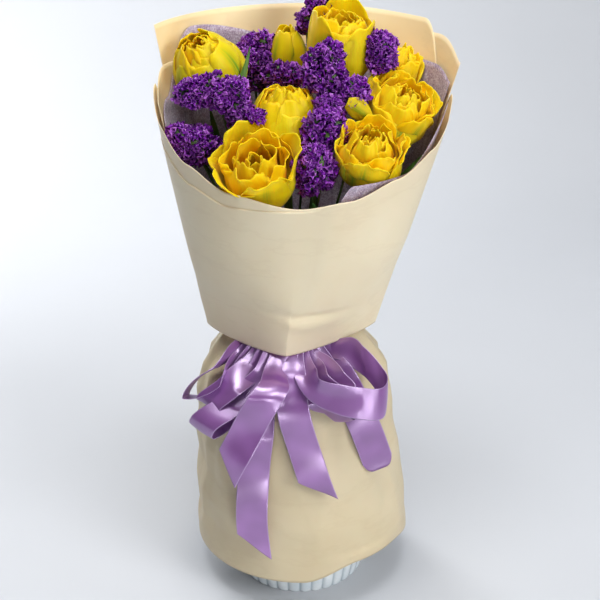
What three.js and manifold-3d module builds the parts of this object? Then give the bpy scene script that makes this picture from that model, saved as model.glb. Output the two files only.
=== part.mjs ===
// A wrapped bunch of double yellow tulips with purple statice, standing in a fluted white vase.
//
// Frame: millimetres, +Z up, -Y towards the viewer, origin at the centre of the vase's flat foot.
// From the foot upwards: vase, stems standing on its floor, a paper skirt that hides the vase,
// the waist where everything is tied, and a paper funnel that opens round the flower heads.

import * as THREE from "three";
import { mergeVertices } from "three/addons/utils/BufferGeometryUtils.js";
import Module from "manifold-3d";

const wasm = await Module();
wasm.setup();

// ---------------------------------------------------------------- driving dimensions, mm

const GAP = 0.4; // clear space between pieces that touch in the real object
const PAPER = 0.7; // thickness of a wrapping sheet as a solid
const RIBBON = 0.6;
const RIBBON_WIDTH = 25; // satin ribbon, one inch

// The vase's outside from its foot to its mouth and its inside back down, as [radius, height].
const VASE = {
  foot: [[0, 0], [54, 0]],
  outside: [[56, 2], [61, 30], [63, 65], [60, 118]],
  inside: [[55, 118], [52, 22], [43, 6], [0, 6]],
  floor: 6,
  flutes: 36,
  fluteDepth: 1.1,
};

const WAIST = { x: -5, z: 240, halfHeight: 9 }; // where the bunch is tied
const WAIST_LAYER = 1.15; // from the middle of one gathered sheet to the middle of the next
const TIE = { innerRadius: 15.5, outerRadius: 17, halfHeight: 4 };
const LINING_NECK = TIE.outerRadius + GAP + PAPER / 2;

const TULIP_STEM = 3.4; // radii
const STATICE_STEM = 1.5;
const STEM_FLOOR_Z = VASE.floor + GAP;
const LEVEL = 20; // spacing of the heights at which stems are laid out

// ---------------------------------------------------------------- small helpers

const clamp01 = (t) => Math.min(1, Math.max(0, t));
const ease = (t) => clamp01(t) ** 2 * (3 - 2 * clamp01(t));
const mix = (a, b, t) => a + (b - a) * t;
const rad = THREE.MathUtils.degToRad;
const vec = (p) => new THREE.Vector3(...p);

// A value read from a short list of [position, value] pairs.
function along(pairs, at, step = (t) => t) {
  if (at <= pairs[0][0]) return pairs[0][1];
  for (let i = 1; i < pairs.length; i++) {
    const [a, va] = pairs[i - 1];
    const [b, vb] = pairs[i];
    if (at <= b) return mix(va, vb, step((at - a) / (b - a)));
  }
  return pairs[pairs.length - 1][1];
}

function volumeOf(geometry) {
  const p = geometry.toNonIndexed().getAttribute("position");
  const [a, b, c] = [new THREE.Vector3(), new THREE.Vector3(), new THREE.Vector3()];
  let sum = 0;
  for (let i = 0; i < p.count; i += 3) {
    a.fromBufferAttribute(p, i);
    b.fromBufferAttribute(p, i + 1);
    c.fromBufferAttribute(p, i + 2);
    sum += a.dot(b.cross(c)) / 6;
  }
  return sum;
}

// The geometry with only its positions, welded, and with its faces pointing out.
function closed(geometry) {
  geometry.deleteAttribute("normal");
  geometry.deleteAttribute("uv");
  const welded = mergeVertices(geometry, 1e-3);
  const ids = welded.index.array;
  const kept = [];
  for (let i = 0; i < ids.length; i += 3) {
    const [a, b, c] = [ids[i], ids[i + 1], ids[i + 2]];
    if (a !== b && b !== c && a !== c) kept.push(a, b, c);
  }
  welded.setIndex(kept);
  if (volumeOf(welded) < 0) {
    for (let i = 0; i < kept.length; i += 3) [kept[i + 1], kept[i + 2]] = [kept[i + 2], kept[i + 1]];
    welded.setIndex(kept);
  }
  return welded;
}

// Several closed geometries that touch or cross, joined into one.
function joined(geometries) {
  const solids = geometries.map((geometry) => {
    const g = closed(geometry);
    const vertProperties = new Float32Array(g.getAttribute("position").array);
    return new wasm.Manifold(
      new wasm.Mesh({ numProp: 3, vertProperties, triVerts: new Uint32Array(g.index.array) }),
    );
  });
  const mesh = solids.reduce((whole, solid) => whole.add(solid)).getMesh();
  const geometry = new THREE.BufferGeometry();
  geometry.setAttribute("position", new THREE.BufferAttribute(new Float32Array(mesh.vertProperties), 3));
  geometry.setIndex(new THREE.BufferAttribute(new Uint32Array(mesh.triVerts), 1));
  return geometry;
}

// A thin solid bent out of a flat slab: place(u, v) gives its middle surface, u and v from 0 to 1.
function bentSheet(place, thickness, across, up) {
  const step = 1e-3;
  const slab = new THREE.BoxGeometry(1, 1, 1, across, up, 1);
  const p = slab.getAttribute("position");
  for (let i = 0; i < p.count; i++) {
    const [u, v, side] = [p.getX(i) + 0.5, p.getY(i) + 0.5, p.getZ(i)];
    const du = place(Math.min(1, u + step), v).sub(place(Math.max(0, u - step), v));
    const dv = place(u, Math.min(1, v + step)).sub(place(u, Math.max(0, v - step)));
    const at = place(u, v).addScaledVector(du.cross(dv).normalize(), side * thickness);
    p.setXYZ(i, at.x, at.y, at.z);
  }
  return closed(slab);
}

function tube(points, radius, sides, steps) {
  const path = new THREE.CatmullRomCurve3(points, false, "centripetal");
  const section = new THREE.Shape();
  for (let i = 0; i < sides; i++) {
    const a = (2 * Math.PI * i) / sides;
    section[i ? "lineTo" : "moveTo"](radius * Math.cos(a), radius * Math.sin(a));
  }
  return closed(new THREE.ExtrudeGeometry(section, { extrudePath: path, steps, bevelEnabled: false }));
}

// A body of revolution about +Z from a list of [radius, height] pairs.
function turned(profile, segments, close = false) {
  const points = profile.map(([r, h]) => new THREE.Vector2(r, h));
  if (close) points.push(points[0].clone());
  return new THREE.LatheGeometry(points, segments).rotateX(Math.PI / 2);
}

function ring(inner, outer, z, halfHeight) {
  const profile = [
    [inner, -halfHeight],
    [outer, -halfHeight],
    [outer, halfHeight],
    [inner, halfHeight],
  ];
  return closed(turned(profile, 30, true).translate(WAIST.x, 0, z));
}

// ---------------------------------------------------------------- materials

const colours = {
  glaze: [0xe9edee, 0.25],
  paper: [0xe6d7b8, 0.55],
  lining: [0xa898aa, 0.9],
  satin: [0xa874c4, 0.35],
  petal: [0xf6c80c, 0.55],
  petalInner: [0xf0ad10, 0.6],
  stem: [0x5d8a3a, 0.6],
  leaf: [0x3d7a32, 0.55],
  statice: [0x5f1f9a, 0.8],
  twine: [0x9a8358, 0.9],
};
const bouquet = new THREE.Group();

function add(name, geometry, colour) {
  const [color, roughness] = colours[colour];
  const mesh = new THREE.Mesh(geometry, new THREE.MeshStandardMaterial({ color, roughness }));
  mesh.name = name;
  bouquet.add(mesh);
}

// ---------------------------------------------------------------- vase

function vaseGeometry() {
  const { foot, outside, inside, flutes, fluteDepth } = VASE;
  const body = turned([...foot, ...outside, ...inside], flutes * 2);
  const p = body.getAttribute("position");
  const isOutside = (r, z) => outside.some((at) => Math.abs(r - at[0]) + Math.abs(z - at[1]) < 0.01);
  for (let i = 0; i < p.count; i++) {
    const [x, y] = [p.getX(i), p.getY(i)];
    const r = Math.hypot(x, y);
    const inGroove = isOutside(r, p.getZ(i)) && Math.cos(flutes * Math.atan2(y, x)) < 0;
    if (inGroove) p.setXY(i, x * (1 - fluteDepth / r), y * (1 - fluteDepth / r));
  }
  return closed(body);
}

// ---------------------------------------------------------------- paper

// The funnel is an oval cone: half width and half depth grow from the collar's hem to the top.
const FUNNEL = {
  hem: { z: 231, halfWidth: 67, x: -7, front: 0.82, back: 0.78 },
  top: { z: 455, halfWidth: 118, x: 5, front: 0.88, back: 0.78 },
  gatherZ: WAIST.z + WAIST.halfHeight + 3, // inner sheets are drawn in below this
  fullZ: WAIST.z + 84, // and lie on the cone from here up
};

function funnelAt(z) {
  const { hem, top } = FUNNEL;
  const at = (key) => mix(hem[key], top[key], (z - hem.z) / (top.z - hem.z));
  return { halfWidth: at("halfWidth"), x: at("x"), front: at("front"), back: at("back") };
}

// A point at a bearing from the front (+90 degrees is the viewer's right) and a height, moved
// inwards by inset and drawn in to the neck radius at the waist.
function funnelPoint(bearing, z, inset, neck) {
  const { halfWidth, x, front, back } = funnelAt(z);
  const gathered = ease((z - FUNNEL.gatherZ) / (FUNNEL.fullZ - FUNNEL.gatherZ));
  const [s, c] = [Math.sin(bearing), Math.cos(bearing)];
  const a = mix(neck, halfWidth - inset, gathered);
  const b = mix(neck, halfWidth * (c > 0 ? front : back) - inset, gathered);
  return new THREE.Vector3(mix(WAIST.x, x, gathered) + a * s, -b * c, z);
}

// The collar is the outermost sheet. Its hem is folded to a point in front.
const COLLAR = {
  from: -108,
  to: 108,
  rim: [
    ...[[-108, 340], [-98, 424], [-75, 405], [-52, 386], [-30, 372], [0, 364]],
    ...[[20, 368], [42, 379], [64, 392], [82, 404], [96, 417], [108, 340]],
  ],
  fold: 0.62,
  foldHeight: 90,
  pointX: -6,
};

function collarPoint(u, v) {
  const degrees = mix(COLLAR.from, COLLAR.to, u);
  const z = mix(FUNNEL.hem.z, along(COLLAR.rim, degrees, ease), v);
  const { halfWidth, x, front, back } = funnelAt(z);
  const fold = COLLAR.fold * (1 - ease((z - FUNNEL.hem.z) / COLLAR.foldHeight));
  const [s, c] = [Math.sin(rad(degrees)), Math.cos(rad(degrees))];
  const bent = (value) => Math.sign(value) * Math.abs(value) ** (1 + fold);
  const depth = halfWidth * (c > 0 ? front : back);
  return new THREE.Vector3(x + halfWidth * bent(s) + COLLAR.pointX * fold * c, -depth * bent(c), z);
}

// The sheets behind the collar. Each has the bearings of its two edges, its rim heights, how far
// inside the cone it lies, and its place in the gathered layers at the waist.
const SHEETS = {
  right_wrap: {
    from: 96,
    to: 180,
    inset: [1.6, 1.6],
    layer: 3,
    rim: [[96, 440], [120, 452], [180, 430]],
  },
  back_wrap: {
    from: -252,
    to: -108,
    inset: [3.1, 1.6],
    layer: 2,
    rim: [[-252, 420], [-230, 461], [-180, 464], [-108, 463]],
  },
  left_wrap: {
    from: -156,
    to: -84,
    inset: [3.1, 3.1],
    layer: 1,
    rim: [[-156, 428], [-108, 434], [-84, 416]],
  },
  lining: {
    from: -264,
    to: 84,
    inset: [4.6, 4.6],
    layer: 0,
    rim: [
      ...[[-264, 426], [-245, 432], [-190, 432], [-130, 455], [-102, 412], [-60, 378]],
      ...[[-20, 352], [12, 352], [22, 378], [50, 378], [84, 416]],
    ],
  },
};
// Every sheet has its rows at the same heights, and one more along its rim.
const SHEET_ROWS = [WAIST.z - WAIST.halfHeight, FUNNEL.gatherZ, 268, 286, 306, FUNNEL.fullZ + 2];

function sheetHeight(v, rim) {
  const heights = [...SHEET_ROWS, rim];
  const t = v * SHEET_ROWS.length;
  const i = Math.min(SHEET_ROWS.length - 1, Math.floor(t));
  return mix(heights[i], heights[i + 1], t - i);
}

function wrapSheet({ from, to, inset, layer, rim }) {
  const neck = LINING_NECK + layer * WAIST_LAYER;
  const place = (u, v) => {
    const degrees = mix(from, to, u);
    const z = sheetHeight(v, along(rim, degrees, ease));
    return funnelPoint(rad(degrees), z, mix(...inset, ease((u - 0.5) * 4)), neck);
  };
  return bentSheet(place, PAPER, Math.round((to - from) / 12), SHEET_ROWS.length);
}

// The skirt: half width and half depth at each height, and pleats that fade downwards.
const SKIRT_NECK = LINING_NECK + 4 * WAIST_LAYER;
const SKIRT_ROWS = [
  { z: 34, a: 90, b: 83 },
  { z: 62, a: 89, b: 82 },
  { z: 100, a: 86, b: 78 },
  { z: 140, a: 81, b: 72 },
  { z: 178, a: 77, b: 65 },
  { z: 200, a: 73, b: 57 },
  { z: 214, a: 63, b: 40 },
  { z: 226, a: 55, b: 28 },
  { z: 236, a: SKIRT_NECK, b: SKIRT_NECK },
  { z: WAIST.z + WAIST.halfHeight, a: SKIRT_NECK, b: SKIRT_NECK },
];
const SKIRT_PLEATS = { count: 9, depth: 2.2, fadeFrom: 60, fadeTo: 180, topZ: 232, topRun: 20 };
const SKIRT_CENTRE = { hemX: 2, run: 150 }; // the skirt leans from here to the waist's middle
const HEM_LIFT = { height: 13, from: 0, full: 30, back: 95, run: 40 }; // bearings in degrees

// How far the hem is turned up at a bearing: it rises at the right of the front.
function hemLift(degrees) {
  const { height, from, full, back, run } = HEM_LIFT;
  return height * ease((degrees - from) / (full - from)) * ease((back - degrees) / run);
}

function skirtGeometry() {
  const outside = SKIRT_ROWS.map(({ z }) => [1, z]);
  const inside = outside.toReversed().map(([, z]) => [0.5, z]);
  const { count, depth, fadeFrom, fadeTo, topZ, topRun } = SKIRT_PLEATS;
  const [hem] = SKIRT_ROWS;
  const body = turned([...outside, ...inside], count * 3, true);
  const p = body.getAttribute("position");
  for (let i = 0; i < p.count; i++) {
    const z = p.getZ(i);
    const row = SKIRT_ROWS.find((each) => Math.abs(each.z - z) < 0.01);
    const bearing = Math.atan2(p.getX(i), -p.getY(i));
    const wall = Math.hypot(p.getX(i), p.getY(i)) > 0.75 ? PAPER / 2 : -PAPER / 2;
    const fade = ease((z - fadeFrom) / (fadeTo - fadeFrom)) * ease((topZ - z) / topRun);
    const out = wall + depth * fade * Math.cos(count * bearing);
    const centre = mix(SKIRT_CENTRE.hemX, WAIST.x, ease((z - hem.z) / SKIRT_CENTRE.run));
    const lift = row === hem ? hemLift(THREE.MathUtils.radToDeg(bearing)) : 0;
    p.setXYZ(i, centre + (row.a + out) * Math.sin(bearing), -(row.b + out) * Math.cos(bearing), z + lift);
  }
  return closed(body);
}

// ---------------------------------------------------------------- ribbon bow

const BAND = { radius: SKIRT_NECK + PAPER / 2 + GAP, z: 243, halfHeight: 6 };
const KNOT_SIZE = [9, 7, 7]; // half width, depth and height
const KNOT = new THREE.Vector3(-8, -BAND.radius - RIBBON - GAP - KNOT_SIZE[1], 242);

function knotGeometry() {
  const profile = [[0, -1], [0.75, -1], [1, -0.5], [1, 0.5], [0.75, 1], [0, 1]];
  return closed(turned(profile, 12).scale(...KNOT_SIZE).translate(...KNOT));
}

const ROWS_PER_STATION = 3;

// A ribbon runs through its stations: [centre, direction of its width, width].
// A tail's free end is cut at a slant: lean moves its right edge ahead of its left one.
function ribbonGeometry(stations, lean = 0) {
  const centres = stations.map(([centre]) => vec(centre));
  const path = new THREE.CatmullRomCurve3(centres, false, "centripetal");
  const last = stations.length - 1;
  const place = (u, v) => {
    const t = clamp01(v * (1 - Math.max(0, (0.5 - u) * lean)));
    const i = Math.min(last - 1, Math.floor(t * last));
    const k = t * last - i;
    const side = vec(stations[i][1]).normalize().lerp(vec(stations[i + 1][1]).normalize(), k).normalize();
    const width = mix(stations[i][2] ?? RIBBON_WIDTH, stations[i + 1][2] ?? RIBBON_WIDTH, k);
    return path.getPoint(t).addScaledVector(side, (u - 0.5) * width);
  };
  return bentSheet(place, RIBBON, 1, last * ROWS_PER_STATION);
}

const KNOT_CLEAR = 0.7; // from the knot to the first of a ribbon
const PINCHED = 8; // width of a ribbon where it is gathered at the knot

// Where a ribbon leaves the knot on edge, at a bearing from its front.
function fromKnot(degrees) {
  const x = KNOT.x + (KNOT_SIZE[0] + KNOT_CLEAR) * Math.sin(rad(degrees));
  const y = KNOT.y - (KNOT_SIZE[1] + KNOT_CLEAR) * Math.cos(rad(degrees));
  return [[x, y, KNOT.z], [0, 0, 1], PINCHED];
}

// Where it passes on its way out, still pinched, at a distance from the knot's middle.
function fan(degrees, distance, z, side = [0, 0, 1], width = PINCHED) {
  const x = KNOT.x + distance * Math.sin(rad(degrees));
  const y = KNOT.y - distance * Math.cos(rad(degrees));
  return [[x, y, z], side, width];
}

const BOW = {
  bow_loop_left_1: [
    fromKnot(-112),
    fan(-104, 19, 236),
    fan(-94, 32, 226, [-0.1, -0.6, 0.7]),
    [[-65, -44, 215], [-0.1, -0.87, 0.4]],
    [[-87, -48, 198], [-0.1, -0.87, 0.4]],
    [[-90, -51, 192], [-0.1, -0.87, 0.4]],
    [[-82, -53, 192], [-0.1, -0.87, 0.4]],
    [[-62, -54, 205], [-0.1, -0.87, 0.4]],
    fan(-80, 34, 220, [-0.1, -0.8, 0.5], 11),
    fan(-90, 20, 233),
    fromKnot(-98),
  ],
  bow_loop_left_2: [
    fromKnot(-84),
    fan(-76, 20, 232),
    fan(-68, 32, 219, [0.2, -0.6, 0.7], 10),
    [[-55, -58, 205], [0.4, -0.8, 0.4]],
    [[-65, -61, 194], [0.4, -0.8, 0.4]],
    [[-62, -63, 190], [0.4, -0.8, 0.4]],
    [[-51, -62, 199], [0.4, -0.8, 0.4]],
    fan(-61, 31, 215, [0.3, -0.6, 0.6], 10),
    fan(-66, 20, 230, [0, 0, 1], 7),
    fromKnot(-72),
  ],
  bow_loop_left_3: [
    fromKnot(-58),
    fan(-54, 20, 229, [0, 0, 1], 6),
    fan(-50, 32, 213, [0.3, -0.6, 0.7], 12),
    [[-57, -67, 189], [0.52, -0.76, 0.39]],
    [[-72, -68, 180], [0.52, -0.76, 0.39]],
    [[-69, -71, 175], [0.52, -0.76, 0.39]],
    [[-56, -74, 181], [0.52, -0.76, 0.39]],
    [[-38, -71, 196], [0.52, -0.76, 0.39], 22],
    fan(-38, 33, 212, [0.4, -0.6, 0.6], 12),
    fan(-40, 20, 227, [0, 0, 1], 6),
    fromKnot(-45),
  ],
  bow_tail_1: [
    fromKnot(-25),
    fan(-22, 20, 227, [0, 0, 1], 6),
    fan(-20, 31, 220, [0.6, -0.2, 0.6], 10),
    [[-19, -74, 217], [0.9, 0, -0.3], 20],
    [[-28, -84, 207], [0.88, 0, -0.45]],
    [[-47, -89, 170], [0.83, -0.3, -0.45]],
    [[-60, -90, 143], [0.75, -0.45, -0.45]],
  ],
  bow_tail_2: [
    fromKnot(-8),
    fan(-6, 20, 226, [0, 0, 1], 6),
    fan(-12, 30, 214, [0.8, 0, 0.4], 10),
    [[-27, -63, 197], [0.96, 0.1, -0.25], 18],
    [[-33, -69, 167], [0.98, 0.1, -0.15]],
    [[-37, -77, 125], [1, 0, 0]],
    [[-38, -84, 92], [1, 0, 0.1]],
    [[-35, -87, 60], [1, 0, 0.15]],
  ],
  bow_tail_3: [
    fromKnot(8),
    fan(8, 20, 226, [0, 0, 1], 6),
    fan(6, 30, 217, [0.8, 0, 0.4], 10),
    [[-6, -70, 199], [0.97, 0, 0.2]],
    [[0, -76, 171], [0.97, 0, 0.2]],
    [[10, -81, 139], [0.95, 0, 0.3]],
    [[18, -83, 114], [0.95, 0, 0.3]],
  ],
  bow_tail_4: [
    fromKnot(92),
    fan(90, 20, 230, [0.4, 0.2, 0.8], 7),
    fan(82, 29, 219.5, [0.6, 0.3, 0.5], 7),
    [[30, -46, 212], [0.8, 0, 0.45], 14],
    [[36, -53, 201], [0.9, 0.2, 0.4]],
    [[45, -58, 183], [0.92, 0.1, 0.4]],
    [[53, -60, 164], [0.92, 0.1, 0.4]],
    [[64, -62, 131], [0.92, 0.1, 0.4]],
  ],
  bow_loop_right_1: [
    fromKnot(112),
    fan(108, 20, 236),
    fan(88, 32, 226, [-0.1, 0.6, 0.75], 6),
    [[36, -37, 227], [-0.1, 0.6, 0.8], 12],
    [[49, -45, 221], [-0.1, 0.5, 0.88]],
    [[61, -54, 211], [0, 0.4, 0.9]],
    [[66, -64, 205], [0, 0.3, 0.95]],
    [[61, -75, 202], [0, 0.25, 0.97]],
    [[46, -81, 205], [0, 0.25, 0.97]],
    [[29, -82, 209], [0.1, 0.15, 0.98], 23],
    [[13, -75, 213], [0.2, 0, 0.95], 16],
    fan(23, 31, 219, [0.2, -0.2, 0.9], 9),
    fan(24, 19, 226, [0, 0, 1], 6),
    fromKnot(24),
  ],
  bow_loop_right_2: [
    fromKnot(52),
    fan(50, 19, 226, [0, 0, 1], 6),
    fan(51, 31, 221, [0.5, -0.3, 0.75], 9),
    [[27, -62, 215], [0.6, -0.3, 0.73], 16],
    [[34, -68, 209], [0.6, -0.3, 0.73], 20],
    [[34, -73, 207], [0.6, -0.3, 0.73], 20],
    [[28, -74, 210], [0.6, -0.3, 0.73], 20],
    [[16, -69, 217], [0.55, -0.3, 0.75], 15],
    fan(37, 30, 220, [0.5, -0.3, 0.75], 9),
    fan(37, 19, 226, [0, 0, 1], 6),
    fromKnot(38),
  ],
  bow_loop_right_3: [
    fromKnot(79),
    fan(74, 19, 227, [0, 0, 1], 6),
    fan(64, 31, 214, [0.5, -0.4, 0.5], 9),
    [[29, -61, 200], [0.55, -0.5, 0.6], 16],
    [[37, -69, 190], [0.5, -0.65, 0.5]],
    [[38, -73, 186], [0.5, -0.7, 0.5]],
    [[34, -75, 184], [0.5, -0.7, 0.5]],
    [[25, -72, 191], [0.5, -0.7, 0.5]],
    [[15, -67, 200], [0.45, -0.6, 0.6], 14],
    fan(50, 30, 208, [0.4, -0.5, 0.6], 7),
    fan(62, 18, 226, [0, 0, 1], 6),
    fromKnot(66),
  ],
};
const TAIL_LEANS = { bow_tail_1: 0.3, bow_tail_2: 0.26, bow_tail_3: 0.34 };

// ---------------------------------------------------------------- flowers

// Each tulip: middle of the bloom, the way it faces, its size, how far its rim opens, and the
// bearing of its stem in the ring of stems at the waist (null stands in the middle of the ring).
const TULIPS = [
  { at: [-69, 22, 434], faces: [-0.3, -0.35, 0.9], radius: 26, height: 46, open: 0.95, slot: 176 },
  { at: [-9, 46, 438], faces: [0, -0.05, 1], radius: 12.5, height: 42, open: 0.7, slot: 124 },
  { at: [30, 25, 452], faces: [0.08, -0.2, 0.98], radius: 24.5, height: 54, open: 0.85, slot: 73 },
  { at: [73, -6, 413], faces: [0.3, -0.3, 0.9], radius: 25.5, height: 46, open: 0.95, slot: -30 },
  { at: [71, 37, 421], faces: [0.25, 0.1, 0.95], radius: 18, height: 40, open: 0.9, slot: 21 },
  { at: [-10, -7, 401], faces: [0, -0.25, 0.96], radius: 25, height: 52, open: 0.85, slot: null },
  { at: [-31, -50, 378], faces: [-0.08, -0.45, 0.88], radius: 26.5, height: 46, open: 1.05, slot: -133 },
  { at: [49, -45, 390], faces: [0.12, -0.4, 0.9], radius: 23, height: 40, open: 1, slot: -82 },
];
const PETAL_WALL = 2; // a whorl of overlapping petals
const WHORL_GAP = 0.8; // between the outer whorl and the inner one
const LOBES = 6;
const TULIP_RING = 8.3; // radius of the ring of tulip stems at the waist
const STATICE_RING = 13.3;

// Each statice sprig: the place of its stem at the waist, and its clusters of florets as
// [middle, half sizes]. The stem runs to the first cluster and a side branch to each other one.
const STATICE = [
  { slot: 201, clusters: [[[-60, -12, 425], [22, 8, 10]], [[-43, -16, 410], [8, 7, 9]]] },
  { slot: 150, clusters: [[[-36, 46, 429], [14, 10, 21]], [[-12, 26, 424], [12, 7, 9]]] },
  { slot: 98, clusters: [[[15, 50, 473], [8, 7, 9]], [[5, 48, 460], [5, 5, 8]]] },
  { slot: -47, clusters: [[[18, -8, 437], [13, 8, 17]], [[38, -18, 427], [10, 8, 9]]] },
  { slot: -4, clusters: [[[58.5, 10, 449], [8.5, 7, 12.5]]] },
  {
    slot: -98,
    clusters: [[[17, -34, 404], [13, 9, 12]], [[22, -21, 417], [9, 7, 7]], [[11, -48, 382], [14, 10, 15]]],
  },
  { slot: 222, clusters: [[[-76, -18, 385], [14, 9, 12]], [[-87, -17, 393], [7, 7, 9]]] },
  { slot: -116, clusters: [[[-30, -26.5, 411], [4.5, 1.8, 3.5]]] },
  { slot: -64, clusters: [[[68, -26.5, 391.5], [4.2, 4.2, 4.2]]] },
];

function headPose({ at, faces, height }) {
  const axis = vec(faces).normalize();
  const base = vec(at).addScaledVector(axis, -height / 2);
  return { base, axis, turn: new THREE.Quaternion().setFromUnitVectors(new THREE.Vector3(0, 0, 1), axis) };
}

function slotAt(slot, radius) {
  if (slot === null) return [WAIST.x, 0];
  return [WAIST.x + radius * Math.cos(rad(slot)), radius * Math.sin(rad(slot))];
}

// ---------------------------------------------------------------- stems

// Every stem is a row of points at shared heights. They start on straight lines from the vase's
// floor through the waist to the bloom, and are then moved apart wherever they would touch.
const FLOOR_SPREAD = 2.7;
const SLANT_ROOM = 1.2; // stems that lean need more room in plan than their thickness
const NECK = 16; // straight run of a stem under its bloom
const HEAD_ROOM = 2; // between a stem and a bloom it passes
const PASSES = 160;
const SMOOTH_PASSES = 130; // the passes after these only part the stems
const SMOOTHING = 0.3;

function layOut({ top, axis, radius, slot, ringRadius, bloom }) {
  const [wx, wy] = slotAt(slot, ringRadius);
  const [fx, fy] = [(wx - WAIST.x) * FLOOR_SPREAD, wy * FLOOR_SPREAD];
  const under = top.clone().addScaledVector(axis, -NECK);
  const points = [];
  for (let z = STEM_FLOOR_Z; z < under.z - 6; z += LEVEL) {
    const low = ease((z - STEM_FLOOR_Z - LEVEL) / (WAIST.z - 20 - STEM_FLOOR_Z));
    const high = clamp01((z - WAIST.z - 10) / (under.z - WAIST.z - 10));
    const x = z < WAIST.z ? mix(fx, wx, low) : mix(wx, under.x, high);
    const y = z < WAIST.z ? mix(fy, wy, low) : mix(wy, under.y, high);
    points.push(new THREE.Vector3(x, y, z));
  }
  return { points, ends: [under, top], radius, bloom };
}

const isHeld = (z) => Math.abs(z - WAIST.z) < 1.1 * LEVEL || z < STEM_FLOOR_Z + 1.5 * LEVEL;

function pushApart(a, b, room) {
  const gap = Math.hypot(a.x - b.x, a.y - b.y);
  if (gap >= room || gap === 0) return;
  const push = (room - gap) / 2 / gap;
  const [dx, dy] = [(a.x - b.x) * push, (a.y - b.y) * push];
  a.x += dx;
  a.y += dy;
  b.x -= dx;
  b.y -= dy;
}

function smooth({ points, ends }) {
  points.forEach((p, i) => {
    if (isHeld(p.z)) return;
    const [before, after] = [points[i - 1], points[i + 1] ?? ends[0]];
    const t = (p.z - before.z) / (after.z - before.z);
    p.x += SMOOTHING * (mix(before.x, after.x, t) - p.x);
    p.y += SMOOTHING * (mix(before.y, after.y, t) - p.y);
  });
}

function partStems(a, b) {
  const room = (a.radius + b.radius + GAP) * SLANT_ROOM;
  for (let k = 0; k < Math.min(a.points.length, b.points.length); k++)
    if (!isHeld(a.points[k].z)) pushApart(a.points[k], b.points[k], room);
}

// Moves a stem's points out of a bloom, taken as a ball of [x, y, z, radius].
function clearBloom({ points, radius }, [x, y, z, size]) {
  const reach = size + radius + HEAD_ROOM;
  for (const p of points) {
    if (Math.abs(p.z - z) >= reach || isHeld(p.z)) continue;
    const room = Math.sqrt(reach ** 2 - (p.z - z) ** 2);
    const gap = Math.hypot(p.x - x, p.y - y);
    if (gap >= room) continue;
    p.x = x + ((p.x - x) * room) / gap;
    p.y = y + ((p.y - y) * room) / gap;
  }
}

function settle(stems, blooms) {
  for (let pass = 0; pass < PASSES; pass++) {
    if (pass < SMOOTH_PASSES) stems.forEach(smooth);
    stems.forEach((a, i) => stems.slice(i + 1).forEach((b) => partStems(a, b)));
    for (const stem of stems)
      blooms.forEach((bloom, i) => {
        if (i !== stem.bloom) clearBloom(stem, bloom);
      });
  }
}

const tulipStems = TULIPS.map((tulip, i) => {
  const { base, axis } = headPose(tulip);
  const top = base.addScaledVector(axis, -GAP);
  return layOut({ top, axis, radius: TULIP_STEM, slot: tulip.slot, ringRadius: TULIP_RING, bloom: i });
});
const staticeStems = STATICE.map(({ slot, clusters }) => {
  const top = vec(clusters[0][0]);
  const axis = top.clone().sub(new THREE.Vector3(...slotAt(slot, STATICE_RING), WAIST.z)).normalize();
  return layOut({ top, axis, radius: STATICE_STEM, slot, ringRadius: STATICE_RING, bloom: null });
});
settle(
  [...tulipStems, ...staticeStems],
  TULIPS.map(({ at, radius, height }) => [...at, (radius + height / 2) / 2]),
);

function stemTube({ points, ends, radius }, sides) {
  const route = [...points, ...ends];
  return tube(route, radius, sides, route.length - 1);
}

// ---------------------------------------------------------------- tulip heads

// Both whorls are turned from profiles given as shares of the bloom's radius and height.
function tulipHead({ radius, height, open }) {
  const outer = [
    [0, 0],
    [radius * 0.5, height * 0.05],
    [radius * 0.9, height * 0.28],
    [radius, height * 0.55],
    [radius * mix(1, open, 0.8), height * 0.86],
  ];
  const inner = outer
    .toReversed()
    .map(([r, h]) => [Math.max(0, r - PETAL_WALL), r ? h + PETAL_WALL * 0.4 : PETAL_WALL]);
  const cup = turned([...outer, ...inner], LOBES * 2);
  const p = cup.getAttribute("position");
  for (let i = 0; i < p.count; i++) {
    const z = p.getZ(i);
    const lobe = Math.cos(LOBES * Math.atan2(p.getY(i), p.getX(i)));
    p.setZ(i, z + lobe * 0.07 * height * ease((z / height - 0.6) / 0.3));
  }
  const inset = PETAL_WALL + WHORL_GAP;
  const rim = radius * mix(1, open, 0.8) - inset;
  const heart = turned(
    [
      [0, inset],
      [radius * 0.5 - inset, height * 0.05 + inset * 0.8],
      [radius * 0.88 - inset, height * 0.3 + 1],
      [radius * 0.95 - inset, height * 0.55],
      [rim * 0.88, height * 0.88],
      [rim * 0.4, height],
      [0, height * 0.98],
    ],
    12,
  );
  return { cup: closed(cup), heart: closed(heart) };
}

TULIPS.forEach((tulip, i) => {
  const { base, turn } = headPose(tulip);
  const { cup, heart } = tulipHead(tulip);
  const name = `tulip_${i + 1}`;
  add(`${name}_outer_petals`, cup.applyQuaternion(turn).translate(...base), "petal");
  add(`${name}_inner_petals`, heart.applyQuaternion(turn).translate(...base), "petalInner");
  add(`${name}_stem`, stemTube(tulipStems[i], 6), "stem");
});

// The loose outer petal beside the fourth bloom.
const LOOSE_PETAL = {
  route: [
    [50, -27, 409],
    [43, -28, 415],
    [33, -29, 422],
  ],
  width: 14,
  narrow: 4,
  wide: [0.35, -0.2, 0.9],
};

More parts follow.
